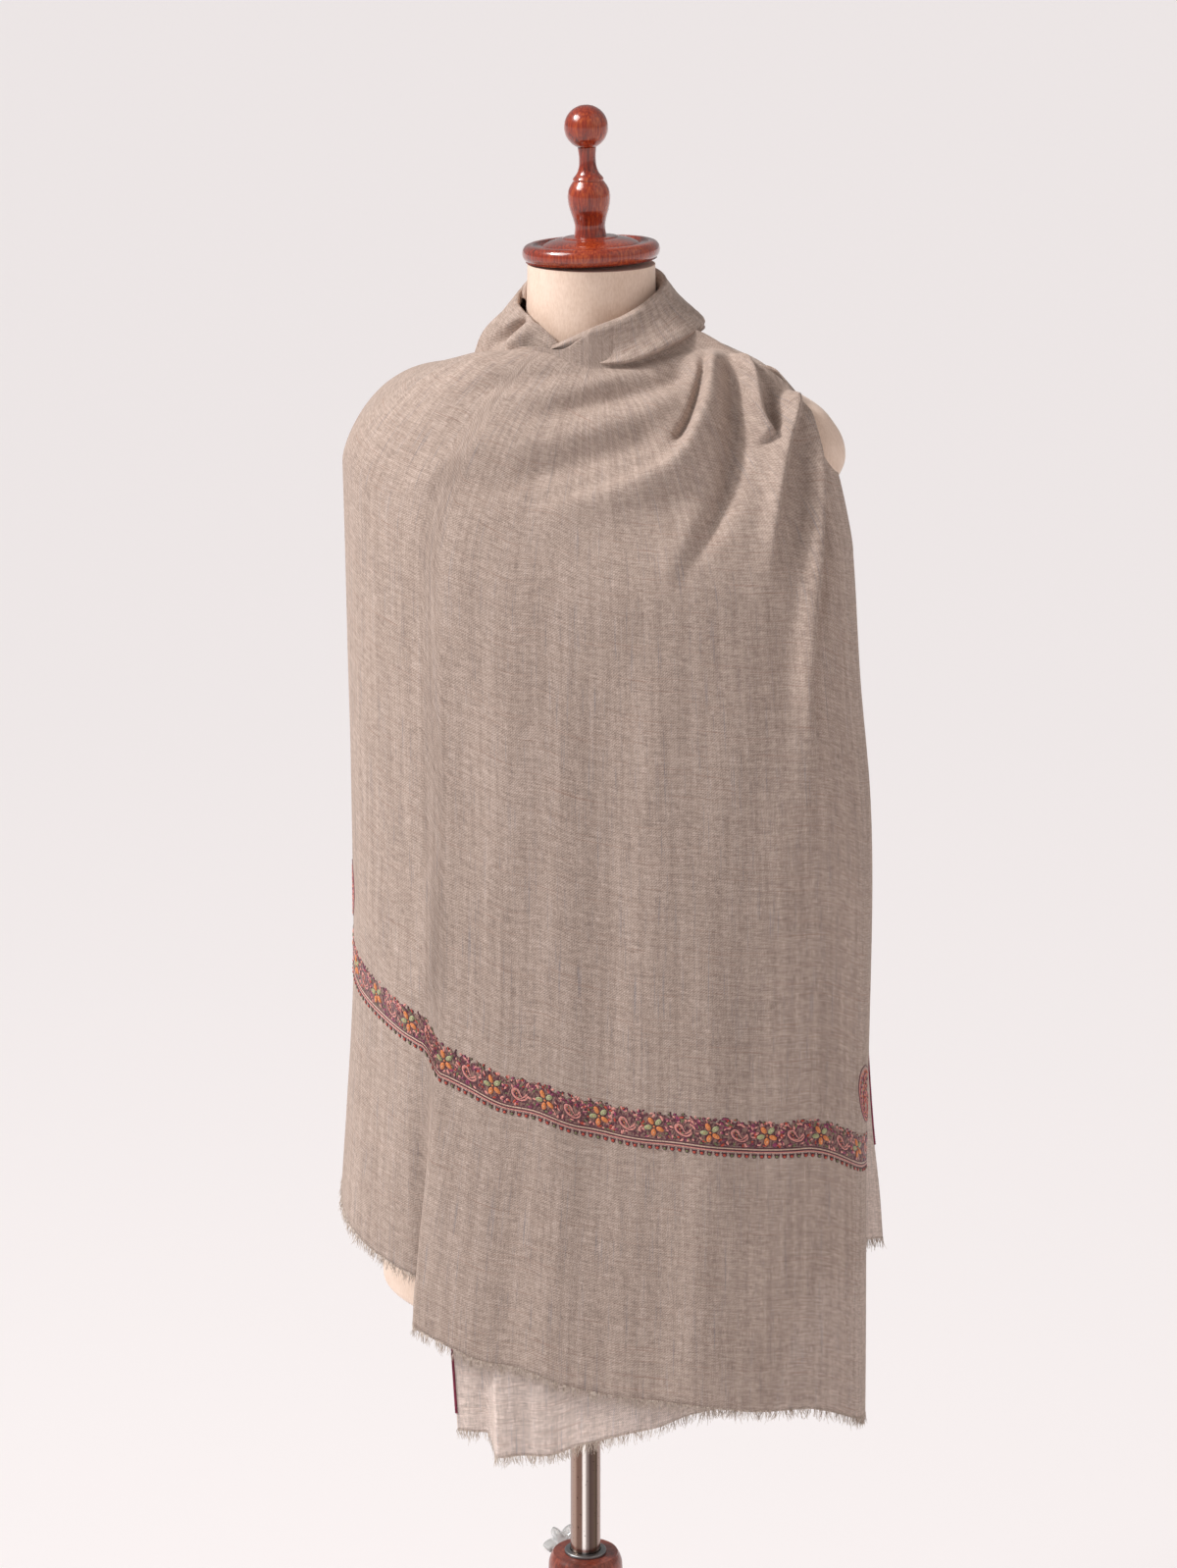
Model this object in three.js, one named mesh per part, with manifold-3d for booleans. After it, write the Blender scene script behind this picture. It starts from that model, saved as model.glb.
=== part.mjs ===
// A pashmina shawl worn round a limbless dress form on a height-adjustable stand.
// Millimetres, +Z up, the form faces -Y, the origin lies under the base on the pole's axis.
import * as THREE from 'three';
import { mergeVertices } from 'three/addons/utils/BufferGeometryUtils.js';
import Module from 'manifold-3d';

// ---------------------------------------------------------------- driving dimensions
const GAP = 0.3; // clearance between neighbouring pieces
const BASE_RADIUS = 170;
const BASE_HEIGHT = 30;
const COLUMN_TOP = 372;
const COLUMN_RADIUS = 27;
const POLE_RADIUS = 12.5;
const BORE_RADIUS = 13;
const POLE_BOTTOM = 100;
const TORSO_BOTTOM = 597;
const NECK_RADIUS = 49.5;
const NECK_TOP = 1452;
const NECK_BACK = 10; // the neck stands this far behind the pole's axis
const SHOULDER_LEAN = 0.045; // the form's left shoulder is the higher one
const CAP_LEAN = 0.045; // the neck cap and its finial lean to the form's right
const CLOTH_TURN = THREE.MathUtils.degToRad(27); // the hanging front faces this far to the form's left
const CLOTH_WALL = 1.2;
const CLOTH_SKEW = 0.22; // the draped section leans back towards the form's right
const SQUARENESS = 0.75; // below 1, a section has fuller corners than an ellipse
const BAND_HEIGHT = 31;
const BAND_ABOVE_HEM = 229; // from the hem to the band's centre line
const TRIM_WALL = 1;
const FRINGE_REACH = 8;
const EDGING_WIDTH = 2.4;

const CLOTH = { color: 0xa3917f, roughness: 0.92, metalness: 0 };
const FRINGE = { color: 0xb3a392, roughness: 0.95, metalness: 0 };
const NEEDLEWORK = { color: 0x8a3a38, roughness: 0.8, metalness: 0 };
const CRIMSON = { color: 0x7c1f3c, roughness: 0.7, metalness: 0 };
const JERSEY = { color: 0xe3cdb4, roughness: 0.85, metalness: 0 };
const CHERRY = { color: 0x8a2415, roughness: 0.2, metalness: 0 };
const WALNUT = { color: 0x5a2a1c, roughness: 0.5, metalness: 0 };
const CHROME = { color: 0xd6d8da, roughness: 0.12, metalness: 1 };
const STEEL = { color: 0x8d8f90, roughness: 0.4, metalness: 1 };
const CLEAR_PLASTIC = { color: 0xe8ecec, roughness: 0.1, metalness: 0 };

const wasm = await Module();
wasm.setup();

// ---------------------------------------------------------------- helpers
/** Reads a table of rows at a given key, by straight lines between its rows. */
function lookUp(table, key, at, column) {
  const last = table.length - 1;
  if (at <= table[0][key]) {
    return table[0][column];
  }
  for (let i = 0; i < last; i += 1) {
    const low = table[i];
    const high = table[i + 1];
    if (at <= high[key]) {
      const share = (at - low[key]) / (high[key] - low[key]);
      return low[column] + share * (high[column] - low[column]);
    }
  }
  return table[last][column];
}

/** Evenly spaced numbers from one value to another, both included. */
function spread(from, to, steps) {
  return Array.from({ length: steps + 1 }, (_, i) => from + ((to - from) * i) / steps);
}

/** Turns named columns and plain rows into a list of row objects. */
function table(columns, rows) {
  return rows.map((row) => Object.fromEntries(columns.map((name, i) => [name, row[i]])));
}

function makeMesh(name, geometry, finish) {
  const mesh = new THREE.Mesh(geometry, new THREE.MeshStandardMaterial(finish));
  mesh.name = name;
  return mesh;
}

function meshFromLists(name, points, faces, finish) {
  const geometry = new THREE.BufferGeometry();
  geometry.setAttribute('position', new THREE.Float32BufferAttribute(points.flat(), 3));
  geometry.setIndex(faces.flat());
  geometry.computeVertexNormals();
  return makeMesh(name, geometry, finish);
}

/** Two triangles for the four-cornered face a, b, c, d. */
function quad(a, b, c, d) {
  return [[a, b, c], [a, c, d]];
}

/**
 * A cloth wall between two grids of points: rows run down the cloth, columns run to the right
 * as seen from outside. The outer grid is outer[row][column] and the inner one lies behind it.
 */
function wallBetween(name, outer, inner, finish) {
  const rows = outer.length;
  const columns = outer[0].length;
  const points = [...outer.flat(), ...inner.flat()].map((p) => [p.x, p.y, p.z]);
  const front = (r, c) => r * columns + c;
  const back = (r, c) => rows * columns + r * columns + c;
  const faces = [];
  for (let r = 0; r + 1 < rows; r += 1) {
    for (let c = 0; c + 1 < columns; c += 1) {
      faces.push(...quad(front(r, c), front(r + 1, c), front(r + 1, c + 1), front(r, c + 1)));
      faces.push(...quad(back(r, c), back(r, c + 1), back(r + 1, c + 1), back(r + 1, c)));
    }
  }
  for (let c = 0; c + 1 < columns; c += 1) {
    faces.push(...quad(front(0, c), front(0, c + 1), back(0, c + 1), back(0, c)));
    const r = rows - 1;
    faces.push(...quad(front(r, c + 1), front(r, c), back(r, c), back(r, c + 1)));
  }
  for (let r = 0; r + 1 < rows; r += 1) {
    faces.push(...quad(front(r + 1, 0), front(r, 0), back(r, 0), back(r + 1, 0)));
    const c = columns - 1;
    faces.push(...quad(front(r, c), front(r + 1, c), back(r + 1, c), back(r, c)));
  }
  return meshFromLists(name, points, faces, finish);
}

/** The outward normal at each point of a grid, from its neighbours. */
function gridNormals(grid) {
  return grid.map((line, r) => line.map((_, c) => {
    const up = grid[Math.max(r - 1, 0)][c];
    const down = grid[Math.min(r + 1, grid.length - 1)][c];
    const left = line[Math.max(c - 1, 0)];
    const right = line[Math.min(c + 1, line.length - 1)];
    const across = new THREE.Vector3().subVectors(right, left);
    return new THREE.Vector3().subVectors(down, up).cross(across).normalize();
  }));
}

/** The grid moved along its normals by a distance, outwards when it is positive. */
function offsetGrid(grid, distance) {
  const normals = gridNormals(grid);
  return grid.map((line, r) => line.map((p, c) => p.clone().addScaledVector(normals[r][c], distance)));
}

/** A grid of points of a surface, for a list of rows and a list of columns. */
function sample(surface, rows, columns) {
  return rows.map((row) => columns.map((column) => surface(column, row)));
}

function clothWall(name, grid, finish = CLOTH, thickness = CLOTH_WALL) {
  return wallBetween(name, grid, offsetGrid(grid, -thickness), finish);
}

/** What is sewn on a panel: a thin wall just clear of part of the panel's own grid. */
function onPanel(name, grid, normals, rows, columns, finish) {
  const lifted = (by) => rows.map((r) => columns.map(
    (c) => grid[r][c].clone().addScaledVector(normals[r][c], by)));
  return wallBetween(name, lifted(GAP + TRIM_WALL), lifted(GAP), finish);
}

/**
 * A strip that goes on past an edge of a panel, such as its fringe or an overcast edge: from the
 * edge's points it runs on along the given outward steps, from the gap to the reach.
 */
function pastEdge(name, edge, steps, normals, reach, finish, thickness = TRIM_WALL) {
  const line = (by, depth) => edge.map((p, i) => p.clone()
    .addScaledVector(steps[i], by).addScaledVector(normals[i], -depth));
  return wallBetween(
    name, [line(GAP, 0), line(GAP + reach, 0)], [line(GAP, thickness), line(GAP + reach, thickness)], finish);
}

function fringeBelow(name, grid, fromColumn = 0, toColumn = grid[0].length - 1) {
  const last = grid.length - 1;
  const part = (list) => list.slice(fromColumn, toColumn + 1);
  const edge = part(grid[last]);
  const steps = edge.map((p, i) => p.clone().sub(part(grid[last - 1])[i]).normalize());
  return pastEdge(name, edge, steps, part(gridNormals(grid)[last]), FRINGE_REACH, FRINGE);
}

/** The crimson edging along a column of a panel; it runs down its left or its right edge. */
function edgingBeside(name, grid, column, fromRow, toRow) {
  const inward = column === 0 ? 1 : grid[0].length - 2;
  const normals = gridNormals(grid);
  const rows = spread(fromRow, toRow, toRow - fromRow);
  const out = (r) => grid[r][column].clone().sub(grid[r][inward]).normalize();
  const line = (by, depth) => rows.map((r) => grid[r][column].clone()
    .addScaledVector(out(r), by).addScaledVector(normals[r][column], -depth));
  const side = (depth) => {
    const near = line(GAP, depth);
    const far = line(GAP + EDGING_WIDTH, depth);
    return rows.map((_, i) => (column === 0 ? [far[i], near[i]] : [near[i], far[i]]));
  };
  return wallBetween(name, side(0), side(TRIM_WALL), CRIMSON);
}

/** A turned piece about the Z axis; each profile row is a radius and a height. */
function turned(name, profile, finish, segments = 32) {
  const points = profile.map(([radius, height]) => new THREE.Vector2(radius, height));
  const geometry = new THREE.LatheGeometry(points, segments);
  geometry.rotateX(Math.PI / 2);
  return makeMesh(name, geometry, finish);
}

function solidOf(geometry) {
  const bare = geometry.clone();
  bare.deleteAttribute('normal');
  bare.deleteAttribute('uv');
  const merged = mergeVertices(bare, 1e-4);
  return new wasm.Manifold(new wasm.Mesh({
    numProp: 3,
    vertProperties: new Float32Array(merged.attributes.position.array),
    triVerts: new Uint32Array(merged.index.array),
  }));
}

function geometryOf(solid) {
  const mesh = solid.getMesh();
  const geometry = new THREE.BufferGeometry();
  geometry.setAttribute('position', new THREE.Float32BufferAttribute(mesh.vertProperties, 3));
  geometry.setIndex(new THREE.Uint32BufferAttribute(mesh.triVerts, 1));
  geometry.computeVertexNormals();
  return geometry;
}

// ---------------------------------------------------------------- stand
/** Turned base: a flat disc with a rounded rim and a low moulding round the column's foot. */
function makeBase() {
  const rim = spread(-Math.PI / 2, Math.PI / 2, 6)
    .map((a) => [BASE_RADIUS - 9 + 9 * Math.cos(a), 9 + 9 * Math.sin(a)]);
  return turned('base', [
    [0, 0], ...rim, [110, 20], [62, 24], [58, BASE_HEIGHT], [0, BASE_HEIGHT],
  ], WALNUT, 48);
}

const SCREW_HEIGHT = COLUMN_TOP - 16;
const SCREW_RADIUS = 3;
const KNOB_INNER = 44; // from the pole's axis to the knob's near face
const KNOB_THICK = 14;
const KNOB_ANGLE = CLOTH_TURN + Math.PI / 2 + 0.37; // behind, a little to the form's right

/** The turned column, bored for the pole, with a side hole for the clamp screw. */
function makeColumn() {
  const foot = BASE_HEIGHT + GAP;
  const column = turned('column', [
    [BORE_RADIUS, foot], [48, foot], [50, foot + 8], [44, foot + 16], [33, foot + 26], [38, foot + 40],
    [34, foot + 60], [29, foot + 100], [31, foot + 180], [34, foot + 235], [30, foot + 262],
    [24, foot + 272], [24, foot + 280], [31, foot + 292], [31, COLUMN_TOP - 12],
    [COLUMN_RADIUS + 2, COLUMN_TOP - 4], [COLUMN_RADIUS, COLUMN_TOP], [BORE_RADIUS, COLUMN_TOP],
    [BORE_RADIUS, foot],
  ], WALNUT, 36);
  const hole = new THREE.CylinderGeometry(SCREW_RADIUS + 0.4, SCREW_RADIUS + 0.4, 40, 16);
  hole.rotateZ(Math.PI / 2);
  hole.translate(10 + 20, 0, SCREW_HEIGHT);
  hole.rotateZ(KNOB_ANGLE);
  column.geometry = geometryOf(solidOf(column.geometry).subtract(solidOf(hole)));
  return column;
}

/** The dull metal bushing on the column's top, round the pole. */
function makeBushing() {
  const low = COLUMN_TOP + GAP;
  return turned('bushing', [
    [BORE_RADIUS, low], [17.5, low], [17.5, low + 1.5], [16.2, low + 2.5], [BORE_RADIUS, low + 2.5],
    [BORE_RADIUS, low],
  ], STEEL, 36);
}

function makePole() {
  return turned('pole', [
    [0, POLE_BOTTOM], [POLE_RADIUS, POLE_BOTTOM], [POLE_RADIUS, TORSO_BOTTOM - 2],
    [0, TORSO_BOTTOM - 2],
  ], CHROME, 36);
}

/** The flange screwed under the torso, in which the pole's top turns. */
function makeSocket() {
  const top = TORSO_BOTTOM - GAP;
  return turned('form_socket', [
    [BORE_RADIUS, top - 12], [19, top - 12], [19, top - 4], [38, top - 3], [38, top],
    [0, top], [0, top - 1.3], [BORE_RADIUS, top - 1.3], [BORE_RADIUS, top - 12],
  ], STEEL, 36);
}

/** The clamp: a steel screw through the column's side and a clear six-lobed knob on its end. */
function makeClamp() {
  const group = new THREE.Group();
  group.position.z = SCREW_HEIGHT;
  group.rotation.z = KNOB_ANGLE;
  const tip = POLE_RADIUS + 1;
  const screw = new THREE.CylinderGeometry(SCREW_RADIUS, SCREW_RADIUS, KNOB_INNER - GAP - tip, 16);
  screw.rotateZ(Math.PI / 2);
  screw.translate((tip + KNOB_INNER - GAP) / 2, 0, 0);
  group.add(makeMesh('clamp_screw', screw, STEEL));
  const outline = new THREE.Shape(spread(0, 2 * Math.PI, 60).slice(0, -1).map((angle) => {
    const radius = 13.5 + 3.5 * Math.cos(6 * angle);
    return new THREE.Vector2(radius * Math.cos(angle), radius * Math.sin(angle));
  }));
  const knob = new THREE.ExtrudeGeometry(outline, { depth: KNOB_THICK, bevelEnabled: false });
  knob.rotateY(Math.PI / 2);
  knob.translate(KNOB_INNER, 0, 0);
  group.add(makeMesh('clamp_knob', knob, CLEAR_PLASTIC));
  return group;
}

// ---------------------------------------------------------------- dress form
// Horizontal sections of the torso and neck: half the width, half the depth in front and behind
// the section's centre, and how far that centre lies behind the pole's axis.
const TORSO = table(['z', 'half', 'front', 'back', 'centre'], [
  [597, 150, 84, 84, 6], [601, 160, 94, 94, 6], [612, 165, 100, 99, 6], [660, 169, 104, 104, 6],
  [790, 171, 106, 108, 5], [900, 158, 98, 98, 4], [1000, 128, 84, 82, 4], [1080, 134, 94, 80, 6],
  [1160, 150, 112, 86, 8], [1225, 158, 104, 92, 12], [1275, 182, 84, 80, 18], [1305, 190, 70, 70, 22],
  [1328, 187, 62, 62, 23], [1346, 175, 56, 58, 23], [1357, 155, 53, 56, 20], [1366, 124, 51, 54, 16],
  [1376, 88, 50, 52, 12], [1388, 65, 50, 51, 11], [1405, 53, 49.5, 50, 10],
  [1425, 50.5, 49.5, 49.5, 10], [NECK_TOP, NECK_RADIUS, NECK_RADIUS, NECK_RADIUS, NECK_BACK],
]);
const TORSO_STEPS = 40;

/** How far a point at this side and height is raised by the lean of the shoulder line. */
function leanAt(x, z) {
  const share = THREE.MathUtils.smoothstep(z, 1150, 1290) * (1 - THREE.MathUtils.smoothstep(z, 1380, 1430));
  return SHOULDER_LEAN * x * share;
}

function makeTorso() {
  const points = TORSO.flatMap((row) => spread(0, 2 * Math.PI, TORSO_STEPS).slice(0, -1).map((angle) => {
    const x = row.half * Math.cos(angle);
    const depth = Math.sin(angle) < 0 ? row.front : row.back;
    return [x, row.centre + depth * Math.sin(angle), row.z + leanAt(x, row.z)];
  }));
  const faces = [];
  const at = (r, s) => r * TORSO_STEPS + (s % TORSO_STEPS);
  for (let r = 0; r + 1 < TORSO.length; r += 1) {
    for (let s = 0; s < TORSO_STEPS; s += 1) {
      faces.push(...quad(at(r, s), at(r, s + 1), at(r + 1, s + 1), at(r + 1, s)));
    }
  }
  const low = points.length;
  points.push([0, TORSO[0].centre, TORSO_BOTTOM], [0, NECK_BACK, NECK_TOP]);
  for (let s = 0; s < TORSO_STEPS; s += 1) {
    faces.push([low, at(0, s + 1), at(0, s)]);
    faces.push([low + 1, at(TORSO.length - 1, s), at(TORSO.length - 1, s + 1)]);
  }
  return meshFromLists('torso', points, faces, JERSEY);
}

/** Neck cap and finial, turned on one axis that leans to the form's right. */
function makeTopTurnings() {
  const group = new THREE.Group();
  group.position.set(0, NECK_BACK, NECK_TOP + 2.6);
  group.rotation.y = -CAP_LEAN;
  const rim = spread(-Math.PI / 2, Math.PI / 2, 8)
    .map((a) => [46.5 + 7 * Math.cos(a), 7 + 7 * Math.sin(a)]);
  group.add(turned('neck_cap', [
    [0, 0], ...rim, [43, 12.5], [38, 12.2], [34, 14.4], [26, 17], [17, 18.2], [0, 18.2],
  ], CHERRY, 48));
  const foot = 18.2 + GAP;
  const ball = spread(-1.18, Math.PI / 2, 9).map((a) => [17 * Math.cos(a), foot + 86 + 17 * Math.sin(a)]);
  ball[ball.length - 1][0] = 0;
  group.add(turned('finial', [
    [0, foot], [15.5, foot], [15, foot + 4], [11.5, foot + 8], [12, foot + 12], [15.5, foot + 22],
    [16.4, foot + 31], [13.5, foot + 38.5], [9.2, foot + 41.5], [9.8, foot + 44], [9.2, foot + 46.5],
    [7, foot + 50], [6.1, foot + 57], [6.4, foot + 64], [6.47, foot + 69], ...ball,
  ], CHERRY, 32));
  return group;
}

// ---------------------------------------------------------------- shawl: the draped form
// The shawl is drawn square to its hanging front: x runs to the form's left, y runs back from
// that front. A turn is an angle round the section, 0 at the middle of the front and 90 at its
// end over the form's left arm. One section of the drape per row.
const SECTIONS = table(['z', 'right', 'left', 'front', 'back'], [
  [480, 203, 229, 128, 128], [677, 201, 228, 130, 131], [750, 197, 227, 131, 134],
  [900, 189, 227, 132, 136], [1050, 188, 224, 132, 136], [1150, 190, 215, 130, 138],
  [1240, 191, 208, 124, 142], [1300, 192, 203, 118, 144],
]);
// Where the outer end leaves the shoulders and neck, for each turn, and the height at which it
// starts to hang straight down.
const TOP_LINE = table(['turn', 'x', 'y', 'z', 'hang'], [
  [-108, -160, 97, 1341, 1285], [-95, -131, 74, 1361, 1290], [-80, -98, 42, 1373, 1295],
  [-62, -69, -6, 1387, 1285], [-45, -47, -40, 1393, 1260], [-28, -27, -51, 1391, 1225],
  [0, 6, -59, 1381, 1200], [25, 40, -54, 1384, 1210], [45, 70, -44, 1391, 1225],
  [60, 101, -44, 1394, 1240], [72, 128, -54, 1385, 1245], [82, 154, -62, 1368, 1240],
]);
// Hem heights of the outer end, on each side of the fold at its right hip.
const HEM_FRONT = table(['turn', 'z'], [
  [-38, 605], [-28, 596], [-18, 586], [-9, 583], [3, 568], [14, 565], [31, 560], [43, 560],
  [73, 536], [82, 532],
]);
const HEM_SIDE = table(['turn', 'z'], [
  [-108, 700], [-79, 675], [-63, 660], [-51, 650], [-36, 641],
]);
const FOLD_TURN = -37; // where the side stretch tucks behind the front one
const FRONT_END = 80; // the fold over the form's left arm
const SIDE_END = -106; // the selvedge behind the form's right arm

function ring(turn, z, inset = 0) {
  const angle = THREE.MathUtils.degToRad(turn);
  const sine = Math.sin(angle);
  const cosine = Math.cos(angle);
  const half = lookUp(SECTIONS, 'z', z, sine < 0 ? 'right' : 'left') - inset;
  const depth = lookUp(SECTIONS, 'z', z, cosine < 0 ? 'back' : 'front') - inset;
  const x = half * Math.sign(sine) * Math.abs(sine) ** SQUARENESS;
  const y = -depth * Math.sign(cosine) * Math.abs(cosine) ** SQUARENESS;
  return { x, y: y - CLOTH_SKEW * x };
}

// The largest folds of the outer end: each follows a bent line from its top past its knee to its
// foot, with the width of its ridge and how far it stands out (a minus sign is a trough).
const FOLDS = table(['topX', 'topZ', 'kneeX', 'kneeZ', 'footX', 'footZ', 'width', 'lift'], [
  [104, 1385, 92, 1315, -50, 1276, 12, 7], // swag across the chest
  [96, 1330, 60, 1282, 10, 1262, 11, -4], // shade line under the swag
  [112, 1380, 112, 1330, 94, 1296, 9, -6], // deep trough beside the neck
  [122, 1384, 148, 1310, 98, 1196, 12, 6], // second pleat
  [137, 1375, 144, 1345, 150, 1325, 8, -5], // notch
  [150, 1366, 158, 1310, 146, 1240, 9, 5], // third pleat
  [160, 1368, 190, 1290, 172, 1150, 10, 5], // fourth pleat, over the arm
  [-60, 1380, -100, 1362, -140, 1330, 14, 4], // soft roll on the form's right shoulder
]);

function foldLift(x, z) {
  let lift = 0;
  for (const fold of FOLDS) {
    let nearest = Infinity;
    for (const t of spread(0, 1, 12)) {
      const [a, b, c] = [(1 - t) ** 2, 2 * t * (1 - t), t * t];
      const dx = x - (a * fold.topX + b * fold.kneeX + c * fold.footX);
      const dz = z - (a * fold.topZ + b * fold.kneeZ + c * fold.footZ);
      nearest = Math.min(nearest, Math.hypot(dx, dz));
    }
    lift += fold.lift * Math.exp(-((nearest / fold.width) ** 2));
  }
  return lift;
}

/**
 * A point of the outer end. The turn picks the hanging line. Along it, zone 0 to 1 goes over the
 * shoulder, 1 to 2 hangs down to the band, 2 to 3 crosses the band and 3 to 4 ends at the hem.
 */
function outerCloth(turn, zone, hemTable, inset = 0) {
  const top = (column) => lookUp(TOP_LINE, 'turn', turn, column);
  const hem = lookUp(hemTable, 'turn', turn, 'z');
  const hang = top('hang');
  const bandTop = hem + BAND_ABOVE_HEM + BAND_HEIGHT / 2;
  if (zone <= 1) {
    const reach = 1 - (1 - zone) ** 1.7;
    const side = Math.min(Math.abs(turn) / 75, 1) * (turn < 0 ? 1 : 0);
    const drop = 1 - (1 - reach ** (1.3 + 0.3 * side)) ** (0.66 - 0.06 * side);
    const end = ring(turn, hang, inset);
    const x = top('x') + (end.x - top('x')) * reach;
    const y = top('y') + (end.y - top('y')) * reach;
    return new THREE.Vector3(x, y, top('z') + (hang - top('z')) * drop);
  }
  const heights = [hang, bandTop, bandTop - BAND_HEIGHT, hem];
  const whole = Math.min(Math.floor(zone), 3);
  const z = heights[whole - 1] + (heights[whole] - heights[whole - 1]) * (zone - whole);
  const { x, y } = ring(turn, z, inset);
  return new THREE.Vector3(x, y, z);
}

/** The same point with the largest folds raised on it, square to the section. */
function foldedCloth(turn, zone, hemTable) {
  const point = outerCloth(turn, zone, hemTable);
  const fade = THREE.MathUtils.smoothstep(zone, 0, 0.35);
  const lift = foldLift(point.x, point.z) * fade;
  const outward = new THREE.Vector3(point.x * 0.5, point.y, 60 * (1 - Math.min(zone, 1))).normalize();
  return point.addScaledVector(outward, lift);
}

const ABOVE_BAND = 1.985; // a little plain cloth is left between the band and the corner motifs
const ZONES = [
  ...spread(0, 1, 9), ...spread(1, ABOVE_BAND, 8).slice(1), 2, 3, ...spread(3, 4, 5).slice(1),
];
const BAND_ROW = ZONES.indexOf(2);

// ---------------------------------------------------------------- shawl: its pieces
/** Outer end, front stretch: from the hip fold to the fold over the form's left arm. */
function makeOuterFront(group) {
  const turns = spread(FOLD_TURN, FRONT_END, 28);
  const grid = sample((turn, zone) => foldedCloth(turn, zone, HEM_FRONT), ZONES, turns);
  const normals = gridNormals(grid);
  const lastTurn = turns.length - 1;
  group.add(clothWall('shawl_outer_front', grid));
  group.add(fringeBelow('fringe_outer_front', grid));
  const all = spread(0, lastTurn, lastTurn);
  group.add(onPanel('border_front', grid, normals, [BAND_ROW, BAND_ROW + 1], all, NEEDLEWORK));
  const corner = [lastTurn - 2, lastTurn - 1, lastTurn];
  const above = [BAND_ROW - 2, BAND_ROW - 1];
  group.add(onPanel('paisley_left', grid, normals, above, corner, NEEDLEWORK));
  return grid;
}

/** Outer end, side stretch: from behind the hip fold round to its selvedge. */
function makeOuterSide(group) {
  const turns = spread(SIDE_END, FOLD_TURN - 0.6, 12);
  const tuck = (turn, zone) => 10 * THREE.MathUtils.smoothstep(zone, 1.5, 2.6)
    * THREE.MathUtils.smoothstep(turn, -60, FOLD_TURN);
  const grid = sample((turn, zone) => {
    const point = foldedCloth(turn, zone, HEM_SIDE);
    point.y += tuck(turn, zone);
    return point;
  }, ZONES, turns);
  const normals = gridNormals(grid);
  const all = spread(0, turns.length - 1, turns.length - 1);
  group.add(clothWall('shawl_outer_side', grid));
  group.add(fringeBelow('fringe_outer_side', grid));
  group.add(onPanel('border_side', grid, normals, [BAND_ROW, BAND_ROW + 1], all, NEEDLEWORK));
  const above = [BAND_ROW - 2, BAND_ROW - 1];
  group.add(onPanel('paisley_right', grid, normals, above, [1, 2, 3], NEEDLEWORK));
  group.add(edgingBeside('edging_outer_side', grid, 0, 1, ZONES.length - 2));
}

/** Outer end, the strip folded back behind the form's left arm, with the far selvedge. */
function makeReturn(group) {
  const rows = table(['z', 'farX'], [
    [1160, 207], [1080, 212], [1000, 216], [920, 219], [850, 221], [776, 224], [717, 233], [681, 238],
  ]);
  const depth = 27; // how far the selvedge lies behind the fold
  const grid = rows.map((row) => spread(0, 1, 3).map((share) => {
    const fold = ring(FRONT_END, row.z, 0);
    const x = fold.x - 0.7 + (row.farX - fold.x) * share;
    return new THREE.Vector3(x, fold.y + 0.7 + depth * share, row.z - 8 * share);
  }));
  group.add(clothWall('shawl_return', grid));
  group.add(fringeBelow('fringe_return', grid));
  group.add(edgingBeside('edging_return', grid, 3, 1, rows.length - 2));
}

/** Inner end: it hangs under the outer one, shows below its hem and has a small fold of its own. */
function makeInnerFront(group) {
  const INNER = table(['zone', 'from', 'to'], [
    [0, -44, 30], [1, -40, 40], [2.5, -31, 43], [4, -24.5, 30],
  ]);
  const hem = table(['turn', 'z'], [
    [-25, 518], [-18, 521], [-17, 502], [-3, 512], [2, 530], [9, 542], [17, 557], [30, 566],
  ]);
  const zones = [...spread(1.05, 2, 5), 2.5, 3, 3.3, 3.6, 4];
  const grid = zones.map((zone) => spread(0, 1, 14).map((share) => {
    const from = lookUp(INNER, 'zone', zone, 'from');
    const to = lookUp(INNER, 'zone', zone, 'to');
    const turn = from + (to - from) * share;
    const point = outerCloth(turn, zone, hem, 2.2);
    const set = 1 - THREE.MathUtils.smoothstep(share, 0.1, 0.2);
    point.y += 6 * set * THREE.MathUtils.smoothstep(zone, 2.5, 4);
    return point;
  }));
  group.add(clothWall('shawl_inner_front', grid));
  group.add(fringeBelow('fringe_inner_front', grid));
  group.add(edgingBeside('edging_inner_front', grid, 0, 1, zones.length - 2));
}

// Collar: the outer end's top, rolled over round the neck. One row per angle round the neck, 0 in
// front, with the height and radius of its rim and of its foot.
const COLLAR = table(['around', 'rimZ', 'rimR', 'footZ', 'footR'], [
  [-25, 1403, 66, 1386, 82], [0, 1409, 63, 1379, 89], [25, 1420, 61, 1386, 93], [50, 1430, 59, 1395, 90],
  [75, 1437, 58, 1403, 86], [100, 1444, 57.5, 1412, 80], [140, 1448, 57.5, 1414, 76],
  [180, 1449, 57.5, 1414, 76], [215, 1447, 57.5, 1411, 76], [250, 1440, 58, 1406, 76],
]);
const NECK_X = NECK_BACK * Math.sin(CLOTH_TURN);
const NECK_Y = NECK_BACK * Math.cos(CLOTH_TURN);

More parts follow.
